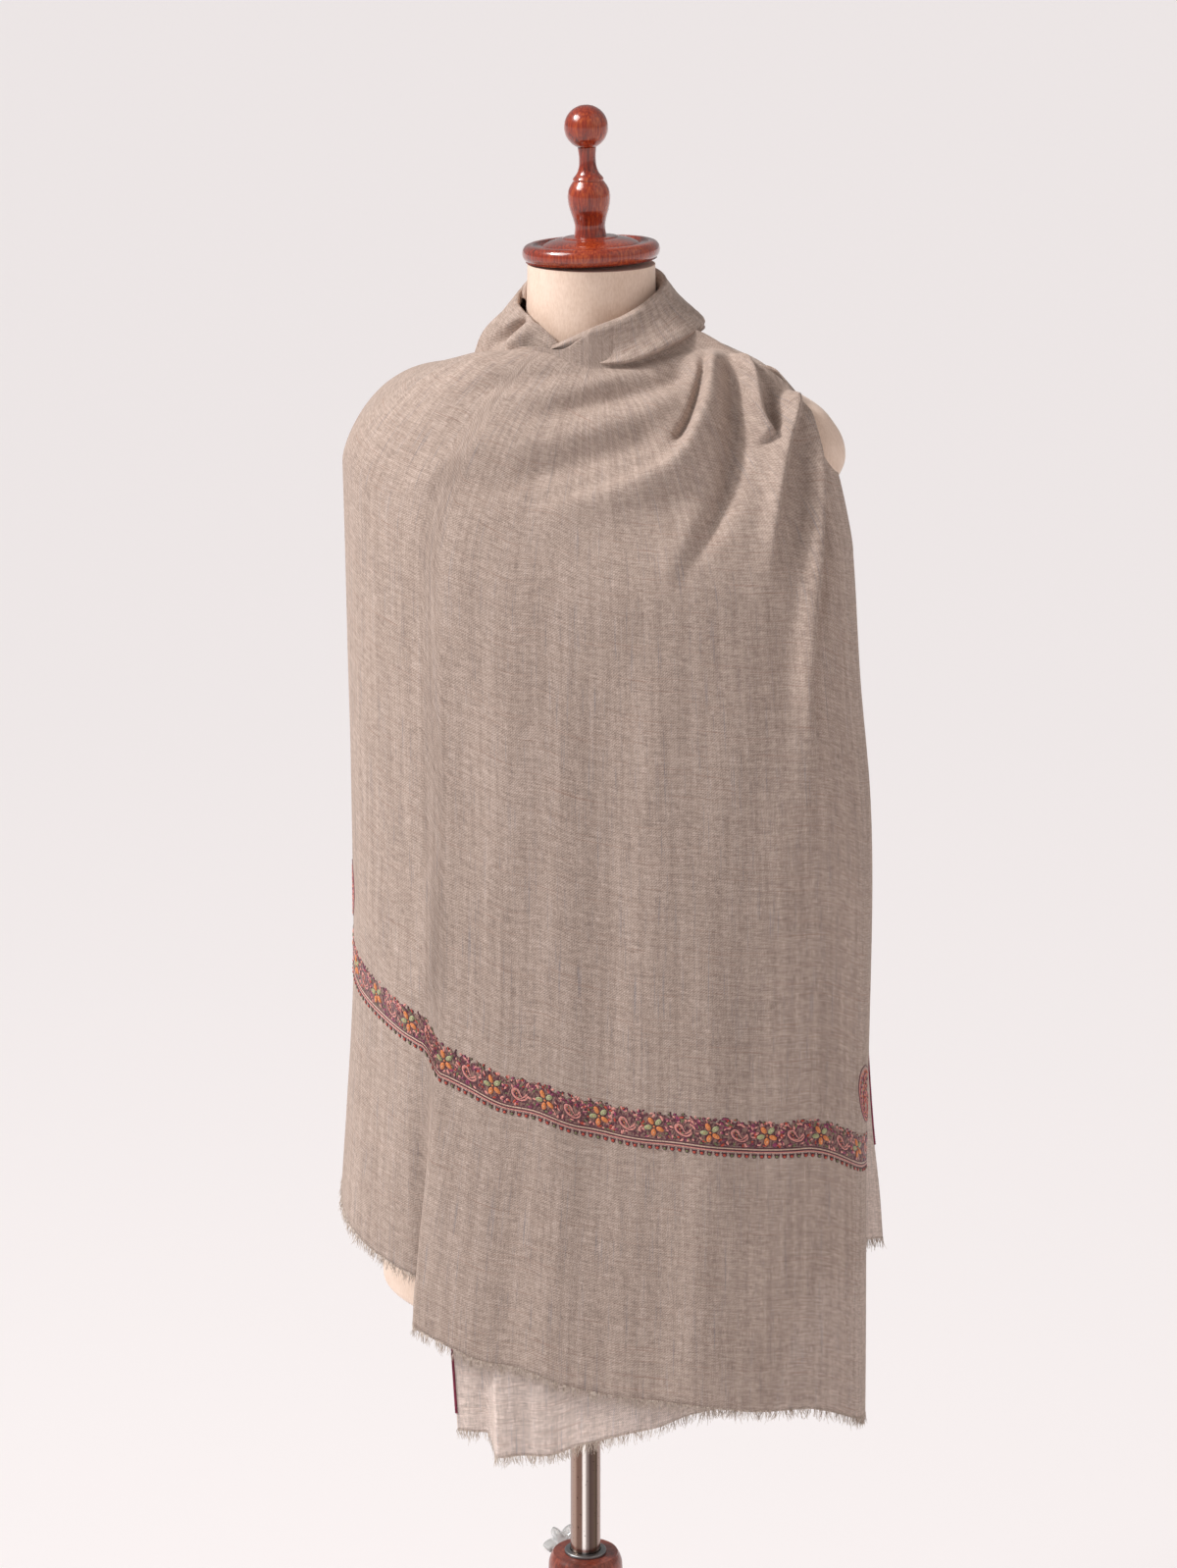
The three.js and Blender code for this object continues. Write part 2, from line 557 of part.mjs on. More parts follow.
/** A point of the collar: share 0 is its hidden inner foot, 1 its outer foot. */
function collarPoint(around, share) {
  const at = (column) => lookUp(COLLAR, 'around', around, column);
  const section = new THREE.CatmullRomCurve3([
    new THREE.Vector3(at('rimR') - 5.9, 0, at('rimZ') - 18),
    new THREE.Vector3(at('rimR') - 5.9, 0, at('rimZ') - 6),
    new THREE.Vector3(at('rimR'), 0, at('rimZ')),
    new THREE.Vector3((at('rimR') + at('footR')) / 2 + 5, 0, (at('rimZ') + at('footZ')) / 2 + 3),
    new THREE.Vector3(at('footR'), 0, at('footZ')),
  ], false, 'catmullrom', 0.5);
  const { x: radius, z } = section.getPoint(share);
  const angle = THREE.MathUtils.degToRad(around);
  return new THREE.Vector3(NECK_X + radius * Math.sin(angle), NECK_Y - radius * Math.cos(angle), z);
}

function makeCollar() {
  const grid = sample(collarPoint, spread(0, 1, 8), spread(-25, 250, 24));
  return clothWall('shawl_collar', grid);
}

/** The deep fold where the inner end rises at the right of the neck, before the collar's ends. */
function makeNeckFold() {
  const fold = table(['around', 'topZ', 'topR', 'footZ', 'footR'], [
    [-104, 1432, 56, 1402, 71], [-90, 1432, 57, 1399, 79], [-74, 1424, 58, 1396, 87.4],
    [-58, 1417, 58, 1396, 76], [-44, 1410, 57, 1390, 64], [-32, 1403, 57, 1386, 60],
  ]);
  const grid = sample((around, share) => {
    const at = (column) => lookUp(fold, 'around', around, column);
    const radius = at('topR') + (at('footR') - at('topR')) * share + 3 * Math.sin(Math.PI * share);
    const angle = THREE.MathUtils.degToRad(around);
    return new THREE.Vector3(
      NECK_X + radius * Math.sin(angle), NECK_Y - radius * Math.cos(angle),
      at('topZ') + (at('footZ') - at('topZ')) * share);
  }, spread(0, 1, 6), spread(-104, -32, 10));
  return clothWall('shawl_neck_fold', grid);
}

/** Middle of the shawl: over both shoulders and down the back in long soft folds. */
function makeBack(group) {
  const top = table(['turn', 'x', 'y', 'z', 'hang'], [
    [108, 154, -60.4, 1368.2, 1270], [116, 128, -52.4, 1385.2, 1270], [124, 101, -42.4, 1394.2, 1270],
    [136, 80, -24, 1399, 1270], [158, 52, 50, 1402, 1272], [180, 4, 74, 1405, 1275],
    [205, -40, 72, 1402, 1280], [225, -72, 76, 1390, 1285], [240, -102, 86, 1372, 1285],
    [249, -122, 98, 1362, 1285],
  ]);
  const hem = table(['turn', 'z'], [[108, 655], [130, 640], [180, 628], [220, 640], [249, 668]]);
  const zones = [...spread(0, 1, 6), ...spread(1, 2, 8).slice(1)];
  const grid = sample((turn, zone) => {
    const at = (column) => lookUp(top, 'turn', turn, column);
    const base = lookUp(hem, 'turn', turn, 'z');
    const z = zone > 1 ? at('hang') + (base - at('hang')) * (zone - 1) : at('hang');
    const narrow = 30 * (1 - THREE.MathUtils.smoothstep(turn, 108, 150));
    const end = ring(turn, z, 3);
    const wave = 5 * Math.sin(THREE.MathUtils.degToRad(turn * 9)) * Math.max(zone - 0.6, 0);
    end.x -= narrow;
    end.y += wave;
    if (zone > 1) {
      return new THREE.Vector3(end.x, end.y, z);
    }
    const reach = 1 - (1 - zone) ** 1.7;
    const drop = 1 - (1 - reach ** 2) ** 0.55;
    return new THREE.Vector3(
      at('x') + (end.x - at('x')) * reach, at('y') + (end.y - at('y')) * reach,
      at('z') + (at('hang') - at('z')) * drop);
  }, zones, spread(108, 249, 24));
  group.add(clothWall('shawl_back', grid));
  group.add(edgingBelowBack(grid));
}

/** The lower selvedge of the middle stretch, overcast in crimson along its whole hem. */
function edgingBelowBack(grid) {
  const last = grid.length - 1;
  const steps = grid[last].map(() => new THREE.Vector3(0, 0, -1));
  return pastEdge('edging_back', grid[last], steps, gridNormals(grid)[last], EDGING_WIDTH, CRIMSON);
}

function makeShawl() {
  const group = new THREE.Group();
  group.rotation.z = CLOTH_TURN;
  makeOuterFront(group);
  makeOuterSide(group);
  makeReturn(group);
  makeInnerFront(group);
  group.add(makeCollar());
  group.add(makeNeckFold());
  makeBack(group);
  return group;
}

// ---------------------------------------------------------------- the whole object
const object = new THREE.Group();
object.add(makeBase());
object.add(makeColumn());
object.add(makeBushing());
object.add(makeClamp());
object.add(makePole());
object.add(makeSocket());
object.add(makeTorso());
object.add(makeTopTurnings());
object.add(makeShawl());

export default object;
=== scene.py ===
import math
import bmesh
import bpy
import numpy as np
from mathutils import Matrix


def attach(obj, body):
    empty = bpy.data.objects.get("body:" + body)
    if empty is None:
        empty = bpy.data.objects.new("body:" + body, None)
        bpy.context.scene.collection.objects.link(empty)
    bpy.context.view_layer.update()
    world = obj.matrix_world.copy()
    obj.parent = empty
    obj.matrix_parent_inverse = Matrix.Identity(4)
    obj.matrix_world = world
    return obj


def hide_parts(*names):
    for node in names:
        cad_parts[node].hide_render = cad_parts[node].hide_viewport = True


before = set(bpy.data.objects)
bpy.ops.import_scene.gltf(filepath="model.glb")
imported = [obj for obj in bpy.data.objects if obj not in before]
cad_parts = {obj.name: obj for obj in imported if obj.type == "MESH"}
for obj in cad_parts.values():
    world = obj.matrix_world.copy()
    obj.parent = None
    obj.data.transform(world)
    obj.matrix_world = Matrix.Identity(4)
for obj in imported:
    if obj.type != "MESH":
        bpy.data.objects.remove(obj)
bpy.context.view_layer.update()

# ------------------------------------------------------------------ camera
# A long lens from a step ladder: it looks down on the form from its left, with the pole upright
# near the middle of the picture.
CAMERA_TURN = math.radians(27)
CAMERA_PITCH = math.radians(15)
CAMERA_AWAY = 3.28
CAMERA_HEIGHT = 1.916
LENS_MM = 97.8

camera_data = bpy.data.cameras.new("camera")
camera_data.lens = LENS_MM
camera_data.sensor_width = 36
camera_data.shift_x = 0.0019
camera = bpy.data.objects.new("camera", camera_data)
bpy.context.scene.collection.objects.link(camera)
camera.location = (
    CAMERA_AWAY * math.sin(CAMERA_TURN), -CAMERA_AWAY * math.cos(CAMERA_TURN), CAMERA_HEIGHT)
camera.rotation_euler = (math.pi / 2 - CAMERA_PITCH, 0, CAMERA_TURN)
bpy.context.scene.camera = camera

# ------------------------------------------------------------------ studio
# A seamless pale floor under even white light, with a soft key and a softbox from the form's front
# right and a weak warm fill from its left. The colours are shown as they are, with no film curve.
bpy.context.scene.view_settings.view_transform = "Standard"


def linear(hex_colour, alpha=1.0):
    """An sRGB hex colour as linear red, green, blue and alpha."""
    channels = [int(hex_colour[i:i + 2], 16) / 255 for i in (1, 3, 5)]
    bright = [c / 12.92 if c <= 0.04045 else ((c + 0.055) / 1.055) ** 2.4 for c in channels]
    return (*bright, alpha)


def add_node(material, kind, links=None, inputs=None, stops=(), **settings):
    """Adds a shader node: settings are its own properties, inputs are socket values by name or
    number, links joins its sockets to other nodes' outputs, and stops are a ramp's places and
    colours, in order."""
    tree = material.node_tree
    node = tree.nodes.new(kind)
    for name, value in settings.items():
        setattr(node, name, value)
    for name, value in (inputs or {}).items():
        node.inputs[name].default_value = value
    for index, (position, colour) in enumerate(stops[:1] + stops[-1:]):
        node.color_ramp.elements[index].position = position
        node.color_ramp.elements[index].color = linear(colour)
    for position, colour in stops[1:-1]:
        node.color_ramp.elements.new(position).color = linear(colour)
    for name, source in (links or {}).items():
        tree.links.new(source, node.inputs[name])
    return node


def new_material(name, **surface):
    """A material with one Principled shader; surface holds its socket values by name."""
    material = bpy.data.materials.new(name)
    material.use_nodes = True
    shader = material.node_tree.nodes["Principled BSDF"]
    for socket, value in surface.items():
        shader.inputs[socket.replace("_", " ")].default_value = value
    return material, shader


def join(material, source, target):
    material.node_tree.links.new(source, target)


def mesh_piece(name, points, faces, material, smooth=True):
    """Makes a mesh object at the origin from points in millimetres and a face array."""
    mesh = bpy.data.meshes.new(name)
    points = np.asarray(points, float).reshape(-1, 3) * 0.001
    faces = np.asarray(faces, int)
    corners = faces.shape[1]
    mesh.vertices.add(len(points))
    mesh.vertices.foreach_set("co", points.ravel())
    mesh.loops.add(faces.size)
    mesh.loops.foreach_set("vertex_index", faces.ravel())
    mesh.polygons.add(len(faces))
    mesh.polygons.foreach_set("loop_start", np.arange(0, faces.size, corners))
    mesh.polygons.foreach_set("use_smooth", np.full(len(faces), smooth))
    mesh.update(calc_edges=True)
    mesh.validate()
    mesh.materials.append(material)
    piece = bpy.data.objects.new(name, mesh)
    bpy.context.scene.collection.objects.link(piece)
    return piece


floor_finish, floor_shader = new_material(
    "painted_studio_floor", Base_Color=linear("#f7f4f5"), Roughness=1.0)
floor_shader.inputs["Specular IOR Level"].default_value = 0
FLOOR_REACH = 60000
FLOOR_HEIGHT = -1  # a millimetre under the base, so that the two faces don't flicker
floor = mesh_piece(
    "floor",
    [[-FLOOR_REACH, -FLOOR_REACH, FLOOR_HEIGHT], [FLOOR_REACH, -FLOOR_REACH, FLOOR_HEIGHT],
     [FLOOR_REACH, FLOOR_REACH, FLOOR_HEIGHT], [-FLOOR_REACH, FLOOR_REACH, FLOOR_HEIGHT]],
    [[0, 1, 2, 3]], floor_finish, smooth=False)

world = bpy.data.worlds.new("studio_air")
world.use_nodes = True
world.node_tree.nodes["Background"].inputs["Color"].default_value = linear("#fbf9fa")
world.node_tree.nodes["Background"].inputs["Strength"].default_value = 0.36
bpy.context.scene.world = world


def add_sun(name, turn, height, strength, softness, colour):
    """A lamp as far off as the sun, so that it lights the whole floor alike: turn is its side
    round the object in degrees, 0 in front, and height its angle above the horizon."""
    data = bpy.data.lights.new(name, "SUN")
    data.energy = strength
    data.angle = math.radians(softness)
    data.color = linear(colour)[:3]
    lamp = bpy.data.objects.new(name, data)
    lamp.rotation_euler = (math.radians(90 - height), 0, math.radians(turn))
    bpy.context.scene.collection.objects.link(lamp)


add_sun("key", -58, 42, 2.35, 9, "#fffcfa")
add_sun("fill", 95, 35, 0.3, 60, "#ffe6d8")

SOFTBOX_PLACE = (-1.05, -1.1, 2.95)
SOFTBOX_AIM = 1.3  # the height of the chest, in metres
softbox_data = bpy.data.lights.new("softbox", "AREA")
softbox_data.shape = "SQUARE"
softbox_data.size = 0.9
softbox_data.energy = 20
softbox_data.color = linear("#fff8f4")[:3]
softbox = bpy.data.objects.new("softbox", softbox_data)
softbox.location = SOFTBOX_PLACE
softbox.rotation_euler = (
    math.atan2(math.hypot(*SOFTBOX_PLACE[:2]), SOFTBOX_PLACE[2] - SOFTBOX_AIM), 0,
    math.atan2(SOFTBOX_PLACE[0], -SOFTBOX_PLACE[1]))
bpy.context.scene.collection.objects.link(softbox)

# ------------------------------------------------------------------ turned wooden stand
# The round base and the turned column are beech stained a dark red-brown and wiped with satin
# lacquer. The column is bored for the pole and screwed to the base from below.
BASE_RADIUS = 170
COLUMN_TOP = 372
BORE_RADIUS = 13
TURN_STEPS = 96


def catmull(p0, p1, p2, p3, t):
    """Places at share t of the cubic from p1 to p2 whose end slopes are half the steps from p0 to
    p2 and from p1 to p3."""
    return 0.5 * (
        2 * p1 + (p2 - p0) * t + (2 * p0 - 5 * p1 + 4 * p2 - p3) * t ** 2
        + (3 * p1 - p0 - 3 * p2 + p3) * t ** 3)


def rounded_profile(rows, per_span=6):
    """A smooth curve through the rows of radius and height. Rows that repeat a point keep a
    corner there. Between corners it is a Catmull-Rom curve, in which a point's slope is half
    the step between its neighbours."""
    rows = np.array(rows, float)
    same = np.all(np.isclose(rows[1:], rows[:-1]), axis=1)
    runs = np.split(rows, np.flatnonzero(same) + 1)
    out = []
    for run in runs:
        if len(run) < 3:
            out.append(run)
            continue
        padded = np.vstack([2 * run[0] - run[1], run, 2 * run[-1] - run[-2]])
        p0, p1, p2, p3 = padded[:-3], padded[1:-2], padded[2:-1], padded[3:]
        t = np.linspace(0, 1, per_span, endpoint=False)[None, :, None]
        p0, p1, p2, p3 = (p[:, None, :] for p in (p0, p1, p2, p3))
        curve = catmull(p0, p1, p2, p3, t)
        out.append(np.vstack([curve.reshape(-1, 2), run[-1:]]))
    profile = np.vstack(out)
    keep = np.append(True, np.any(~np.isclose(profile[1:], profile[:-1], atol=1e-4), axis=1))
    return profile[keep]


def grid_faces(rows, columns, wrap_columns=False, wrap_rows=False):
    """Four-cornered faces of a grid of points counted row by row."""
    r = np.arange(rows if wrap_rows else rows - 1)[:, None]
    c = np.arange(columns if wrap_columns else columns - 1)[None, :]
    r2, c2 = (r + 1) % rows, (c + 1) % columns
    quads = [r * columns + c, r * columns + c2, r2 * columns + c2, r2 * columns + c]
    return np.stack([np.broadcast_to(q, (r.size, c.size)) for q in quads], -1).reshape(-1, 4)


def turned_piece(name, profile, material, steps=TURN_STEPS, closed=False):
    """A lathe-turned piece: the profile of radius and height goes round the Z axis. A profile
    that starts and ends on the axis closes itself; a closed one joins its last point to its
    first, as round a bore."""
    profile = np.asarray(profile, float)
    profile[:, 0] = np.maximum(profile[:, 0], 0 if closed else 1e-3)
    angle = np.linspace(0, 2 * np.pi, steps, endpoint=False)
    x = profile[:, :1] * np.cos(angle)
    y = profile[:, :1] * np.sin(angle)
    z = np.repeat(profile[:, 1:], steps, axis=1)
    faces = grid_faces(len(profile), steps, wrap_columns=True, wrap_rows=closed)
    piece = mesh_piece(name, np.stack([x, y, z], -1), faces, material)
    tidy_mesh(piece)
    return piece


def tidy_mesh(piece, merge=2e-5):
    """Merges doubled points, drops faces with no area and turns every face outwards."""
    work = bmesh.new()
    work.from_mesh(piece.data)
    bmesh.ops.remove_doubles(work, verts=work.verts, dist=merge)
    bmesh.ops.dissolve_degenerate(work, edges=work.edges, dist=1e-6)
    bmesh.ops.recalc_face_normals(work, faces=work.faces)
    work.to_mesh(piece.data)
    work.free()
    piece.data.update()


def keep_edges(piece, degrees=35):
    """Smooth shading that keeps edges sharper than the angle crisp."""
    piece.data.shade_smooth()
    piece.data.set_sharp_from_angle(angle=math.radians(degrees))


def lacquered_wood(name, pale, middle, dark, grain_mm, shine, coat):
    """Turned hardwood under lacquer: long grain along the Z axis, drawn as noise that is
    stretched twenty times along it, with slow stain clouds over it."""
    material, shader = new_material(name, Roughness=shine, IOR=1.5)
    shader.inputs["Coat Weight"].default_value = coat
    shader.inputs["Coat Roughness"].default_value = 0.06
    place = add_node(material, "ShaderNodeTexCoord").outputs["Object"]
    across = 1000 / grain_mm
    long_grain = add_node(
        material, "ShaderNodeMapping", {"Vector": place}, {"Scale": (across, across, across / 20)})
    grain = add_node(
        material, "ShaderNodeTexNoise", {"Vector": long_grain.outputs["Vector"]},
        {"Scale": 1.0, "Detail": 5.0, "Roughness": 0.62, "Distortion": 0.4})
    cloud = add_node(
        material, "ShaderNodeTexNoise", {"Vector": place}, {"Scale": 22.0, "Detail": 2.0})
    blend = add_node(
        material, "ShaderNodeMix", {"A": grain.outputs["Fac"], "B": cloud.outputs["Fac"]},
        {"Factor": 0.42})
    ramp = add_node(
        material, "ShaderNodeValToRGB", {"Fac": blend.outputs["Result"]},
        stops=((0.36, dark), (0.5, middle), (0.66, pale)))
    join(material, ramp.outputs["Color"], shader.inputs["Base Color"])
    bump = add_node(
        material, "ShaderNodeBump", {"Height": grain.outputs["Fac"]},
        {"Strength": 0.12, "Distance": 0.0004})
    join(material, bump.outputs["Normal"], shader.inputs["Normal"])
    return material


stained_beech = lacquered_wood(
    "stained_beech", "#a4543d", "#7a3323", "#471a11", grain_mm=2.2, shine=0.38, coat=0.45)

base = turned_piece("stand_base", rounded_profile([
    [0, 0], [0, 0], [161, 0], [161, 0], [167.4, 2.6], [BASE_RADIUS, 9], [167.4, 15.4], [161, 18],
    [161, 18], [112, 20.2], [112, 20.2], [104, 22], [64, 24], [64, 24], [60.5, 26.5], [58, 30],
    [58, 30], [0, 30]]), stained_beech)
keep_edges(base)
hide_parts("base")
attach(base, "stand")

FOOT = 30.3
column = turned_piece("stand_column", rounded_profile([
    [BORE_RADIUS, FOOT], [BORE_RADIUS, FOOT], [48, FOOT], [48, FOOT], [50, FOOT + 8], [44, FOOT + 16],
    [33, FOOT + 26], [33, FOOT + 26], [38, FOOT + 40], [34, FOOT + 60], [29, FOOT + 100],
    [31, FOOT + 180], [34, FOOT + 235], [30, FOOT + 262], [24, FOOT + 272], [24, FOOT + 272],
    [24, FOOT + 280], [24, FOOT + 280], [29.5, FOOT + 285], [31, FOOT + 294], [31, COLUMN_TOP - 14],
    [29.6, COLUMN_TOP - 5], [27, COLUMN_TOP], [27, COLUMN_TOP], [BORE_RADIUS, COLUMN_TOP]]),
    stained_beech, closed=True)
keep_edges(column)
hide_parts("column")
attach(column, "stand")

# The column's bushing is a turned steel ring, pressed in so that the pole slides without play.
dull_steel, steel_shader = new_material(
    "dull_turned_steel", Base_Color=linear("#8d8f90"), Metallic=1.0, Roughness=0.42)
BUSHING_LOW = COLUMN_TOP + 0.3
bushing = turned_piece("column_bushing", rounded_profile([
    [BORE_RADIUS, BUSHING_LOW], [BORE_RADIUS, BUSHING_LOW], [17.5, BUSHING_LOW], [17.5, BUSHING_LOW],
    [17.5, BUSHING_LOW + 1.4], [16.9, BUSHING_LOW + 2.2], [16.0, BUSHING_LOW + 2.5],
    [16.0, BUSHING_LOW + 2.5], [BORE_RADIUS, BUSHING_LOW + 2.5]]), dull_steel, closed=True)
keep_edges(bushing)
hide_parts("bushing")
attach(bushing, "stand")

# ------------------------------------------------------------------ clamp screw and knob
# A steel screw goes through the column's side onto the pole. Its knob is moulded in clear plastic
# with six lobes for the fingers, its edges rounded over.
SCREW_HEIGHT = COLUMN_TOP - 16
KNOB_INNER = 44
KNOB_ANGLE = math.radians(27) + math.pi / 2 + 0.37
KNOB_STEPS = 72
KNOB_LOBES = 6
SCREW_STEPS = 24


def on_screw_axis(along, side, rise):
    """Points by the screw's own level axis: along it from the pole, to its side and above it."""
    return np.stack([
        along * math.cos(KNOB_ANGLE) - side * math.sin(KNOB_ANGLE),
        along * math.sin(KNOB_ANGLE) + side * math.cos(KNOB_ANGLE), SCREW_HEIGHT + rise], -1)


clear_plastic, plastic_shader = new_material(
    "clear_moulded_plastic", Base_Color=linear("#eceeee"), Roughness=0.1, IOR=1.45)
plastic_shader.inputs["Transmission Weight"].default_value = 0.6
knob_rows = np.array([
    [0, -13.4], [0, -2.2], [0.6, -0.8], [2, 0], [7, 0.2], [12, 0], [13.4, -0.8], [14, -2.2],
    [14, -6.5], [12.2, -8], [12.2, -13.4]])
knob_angle = np.linspace(0, 2 * np.pi, KNOB_STEPS, endpoint=False)
lobe_radius = 13.5 + 3.5 * np.cos(KNOB_LOBES * knob_angle)
radial = np.maximum(lobe_radius[None, :] + knob_rows[:, 1:] * (lobe_radius / 13.5), 0.02)
knob_points = on_screw_axis(
    KNOB_INNER + np.repeat(knob_rows[:, :1], KNOB_STEPS, axis=1), radial * np.cos(knob_angle),
    radial * np.sin(knob_angle))
knob = mesh_piece(
    "clamp_knob", knob_points,
    grid_faces(len(knob_rows), KNOB_STEPS, wrap_columns=True, wrap_rows=True), clear_plastic)
tidy_mesh(knob)
keep_edges(knob, 50)
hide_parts("clamp_knob")
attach(knob, "clamp")

screw_angle = np.linspace(0, 2 * np.pi, SCREW_STEPS, endpoint=False)
screw_rows = np.array([[13.5, 0.01], [13.5, 2.6], [14, 3], [43.7, 3], [43.7, 0.01]])
screw_points = on_screw_axis(
    np.repeat(screw_rows[:, :1], SCREW_STEPS, axis=1), screw_rows[:, 1:] * np.cos(screw_angle),
    screw_rows[:, 1:] * np.sin(screw_angle))
screw = mesh_piece(
    "clamp_screw", screw_points, grid_faces(len(screw_rows), SCREW_STEPS, wrap_columns=True),
    dull_steel)
tidy_mesh(screw)
keep_edges(screw)
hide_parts("clamp_screw")
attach(screw, "clamp")

# ------------------------------------------------------------------ pole
# A chromed steel tube 25 mm across, finely pitted with age. Its colour carries painted reflections:
# upright light and dark bands round the tube, one of them a painted white highlight. It slides in the
# column and the form turns on its top.
chrome, chrome_shader = new_material(
    "pitted_chrome_painted_reflections", Base_Color=linear("#d3d2d0"), Metallic=1.0, Roughness=0.2)
place = add_node(chrome, "ShaderNodeTexCoord").outputs["Object"]
# The share of the way round the tube, twice over, which places the painted reflection bands.
round_pole = add_node(
    chrome, "ShaderNodeTexGradient", {"Vector": place}, gradient_type="RADIAL").outputs["Fac"]
twice_round = add_node(
    chrome, "ShaderNodeMath", {0: round_pole}, {1: 2, 2: -0.15}, operation="MULTIPLY_ADD")
share_round = add_node(
    chrome, "ShaderNodeMath", {0: twice_round.outputs[0]}, operation="FRACT")
# Painted reflections: light and dark upright bands round the tube, with a painted white highlight
# band from 0.445 to 0.49 of the way round.
painted_reflection_bands = add_node(chrome, "ShaderNodeValToRGB", {"Fac": share_round.outputs[0]}, stops=(
    (0.0, "#74645c"), (0.144, "#b09a90"), (0.256, "#b09789"), (0.32, "#7a6156"),
    (0.42, "#7c6359"), (0.445, "#fffaf4"), (0.49, "#fffaf4"), (0.52, "#a0948f"),
    (0.594, "#564742"), (0.667, "#63524b"), (0.75, "#685849"), (0.8, "#b09990"),
    (0.9, "#a08a80"), (1.0, "#74645c")))
pits = add_node(
    chrome, "ShaderNodeTexNoise", {"Vector": place}, {"Scale": 520.0, "Detail": 3.0})
pit_ramp = add_node(
    chrome, "ShaderNodeValToRGB", {"Fac": pits.outputs["Fac"]},
    stops=((0.28, "#6b625c"), (0.34, "#ffffff")))
pitted = add_node(
    chrome, "ShaderNodeMix", {"A": painted_reflection_bands.outputs["Color"], "B": pit_ramp.outputs["Color"]},
    {"Factor": 1}, data_type="RGBA", blend_type="MULTIPLY")
join(chrome, pitted.outputs["Result"], chrome_shader.inputs["Base Color"])
pit_bump = add_node(
    chrome, "ShaderNodeBump", {"Height": pits.outputs["Fac"]},
    {"Strength": 0.1, "Distance": 0.0003})
join(chrome, pit_bump.outputs["Normal"], chrome_shader.inputs["Normal"])
pole = turned_piece(
    "pole", [[0, 100], [11.5, 100], [12.5, 101], [12.5, 594.6], [12.1, 595], [0, 595]], chrome, 64)
keep_edges(pole)
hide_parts("pole")
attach(pole, "mast")

# ------------------------------------------------------------------ torso
# A limbless form of moulded foam under a cover of cream cotton jersey, which is sewn shut over the
# cut-off arms. A steel flange under it turns on the pole.
NECK_BACK = 10
NECK_TOP = 1452
TORSO_STEPS = 120
TORSO = np.array([
    [587, 172, 88, 88, 6], [591, 181, 97, 97, 6], [602, 186, 102, 101, 6], [660, 187, 104, 104, 6],
    [790, 180, 106, 108, 5], [900, 158, 98, 98, 4], [1000, 128, 84, 82, 4], [1080, 134, 94, 80, 6],
    [1160, 150, 112, 86, 8], [1225, 158, 104, 92, 12], [1275, 182, 84, 80, 18],
    [1305, 190, 70, 70, 22], [1328, 187, 62, 62, 23], [1346, 175, 56, 58, 23],
    [1357, 155, 53, 56, 20], [1366, 124, 51, 54, 16], [1376, 88, 50, 52, 12],
    [1388, 65, 50, 51, 11], [1405, 53, 49.5, 50, 10], [1425, 50.5, 49.5, 49.5, 10],
    [NECK_TOP, 49.5, 49.5, 49.5, 10]])


def read_table(table, at, column, key=0):
    """A table's column at the given keys, by cubic spans whose slopes are those of the straight
    lines between each row's neighbours, never steeper than three times the gentler span."""
    keys, values = table[:, key], table[:, column]
    steps = np.diff(values) / np.diff(keys)
    slopes = np.empty(len(keys))
    slopes[0], slopes[-1] = steps[0], steps[-1]
    widths = np.diff(keys)
    inner = (steps[:-1] * widths[1:] + steps[1:] * widths[:-1]) / (widths[1:] + widths[:-1])
    gentle = 3 * np.minimum(abs(steps[:-1]), abs(steps[1:]))
    same_way = steps[:-1] * steps[1:] > 0
    slopes[1:-1] = np.where(same_way, np.clip(inner, -gentle, gentle), 0)
    at = np.clip(np.asarray(at, float), keys[0], keys[-1])
    span = np.clip(np.searchsorted(keys, at, side="right") - 1, 0, len(keys) - 2)
    width = widths[span]
    t = (at - keys[span]) / width
    low, high = values[span], values[span + 1]
    return ((1 + 2 * t) * (1 - t) ** 2 * low + t * (1 - t) ** 2 * width * slopes[span]
            + t * t * (3 - 2 * t) * high + t * t * (t - 1) * width * slopes[span + 1])


def smooth_step(value, low, high):
    """0 below low, 1 above high, and an even S curve between them."""
    t = np.clip((value - low) / (high - low), 0, 1)
    return t * t * (3 - 2 * t)


heights = np.concatenate([
    np.linspace(587, 602, 8, endpoint=False), np.linspace(602, 1275, 60, endpoint=False),
    np.linspace(1275, 1405, 60, endpoint=False), np.linspace(1405, NECK_TOP, 14)])
angle = np.linspace(0, 2 * np.pi, TORSO_STEPS, endpoint=False)[None, :]
half, front, back, centre = (read_table(TORSO, heights, k)[:, None] for k in (1, 2, 3, 4))
torso_x = half * np.cos(angle)
# The left shoulder is padded out to a rounder end, fullest 1305 mm above the floor.
torso_x = torso_x + 19 * smooth_step(torso_x, 60, 185) * np.exp(
    -((heights[:, None] - 1305) / 42) ** 2)
torso_y = centre + np.where(np.sin(angle) < 0, front, back) * np.sin(angle)
lean = smooth_step(heights, 1150, 1290) * (1 - smooth_step(heights, 1380, 1430))
torso_z = heights[:, None] + 0.045 * torso_x * lean[:, None]
torso_points = np.stack([torso_x, torso_y, torso_z], -1)
ends = np.array([[[0, 6, 597]], [[0, NECK_BACK, NECK_TOP]]], float)
torso_points = np.concatenate([
    np.repeat(ends[:1], TORSO_STEPS, axis=1), torso_points,
    np.repeat(ends[1:], TORSO_STEPS, axis=1)])

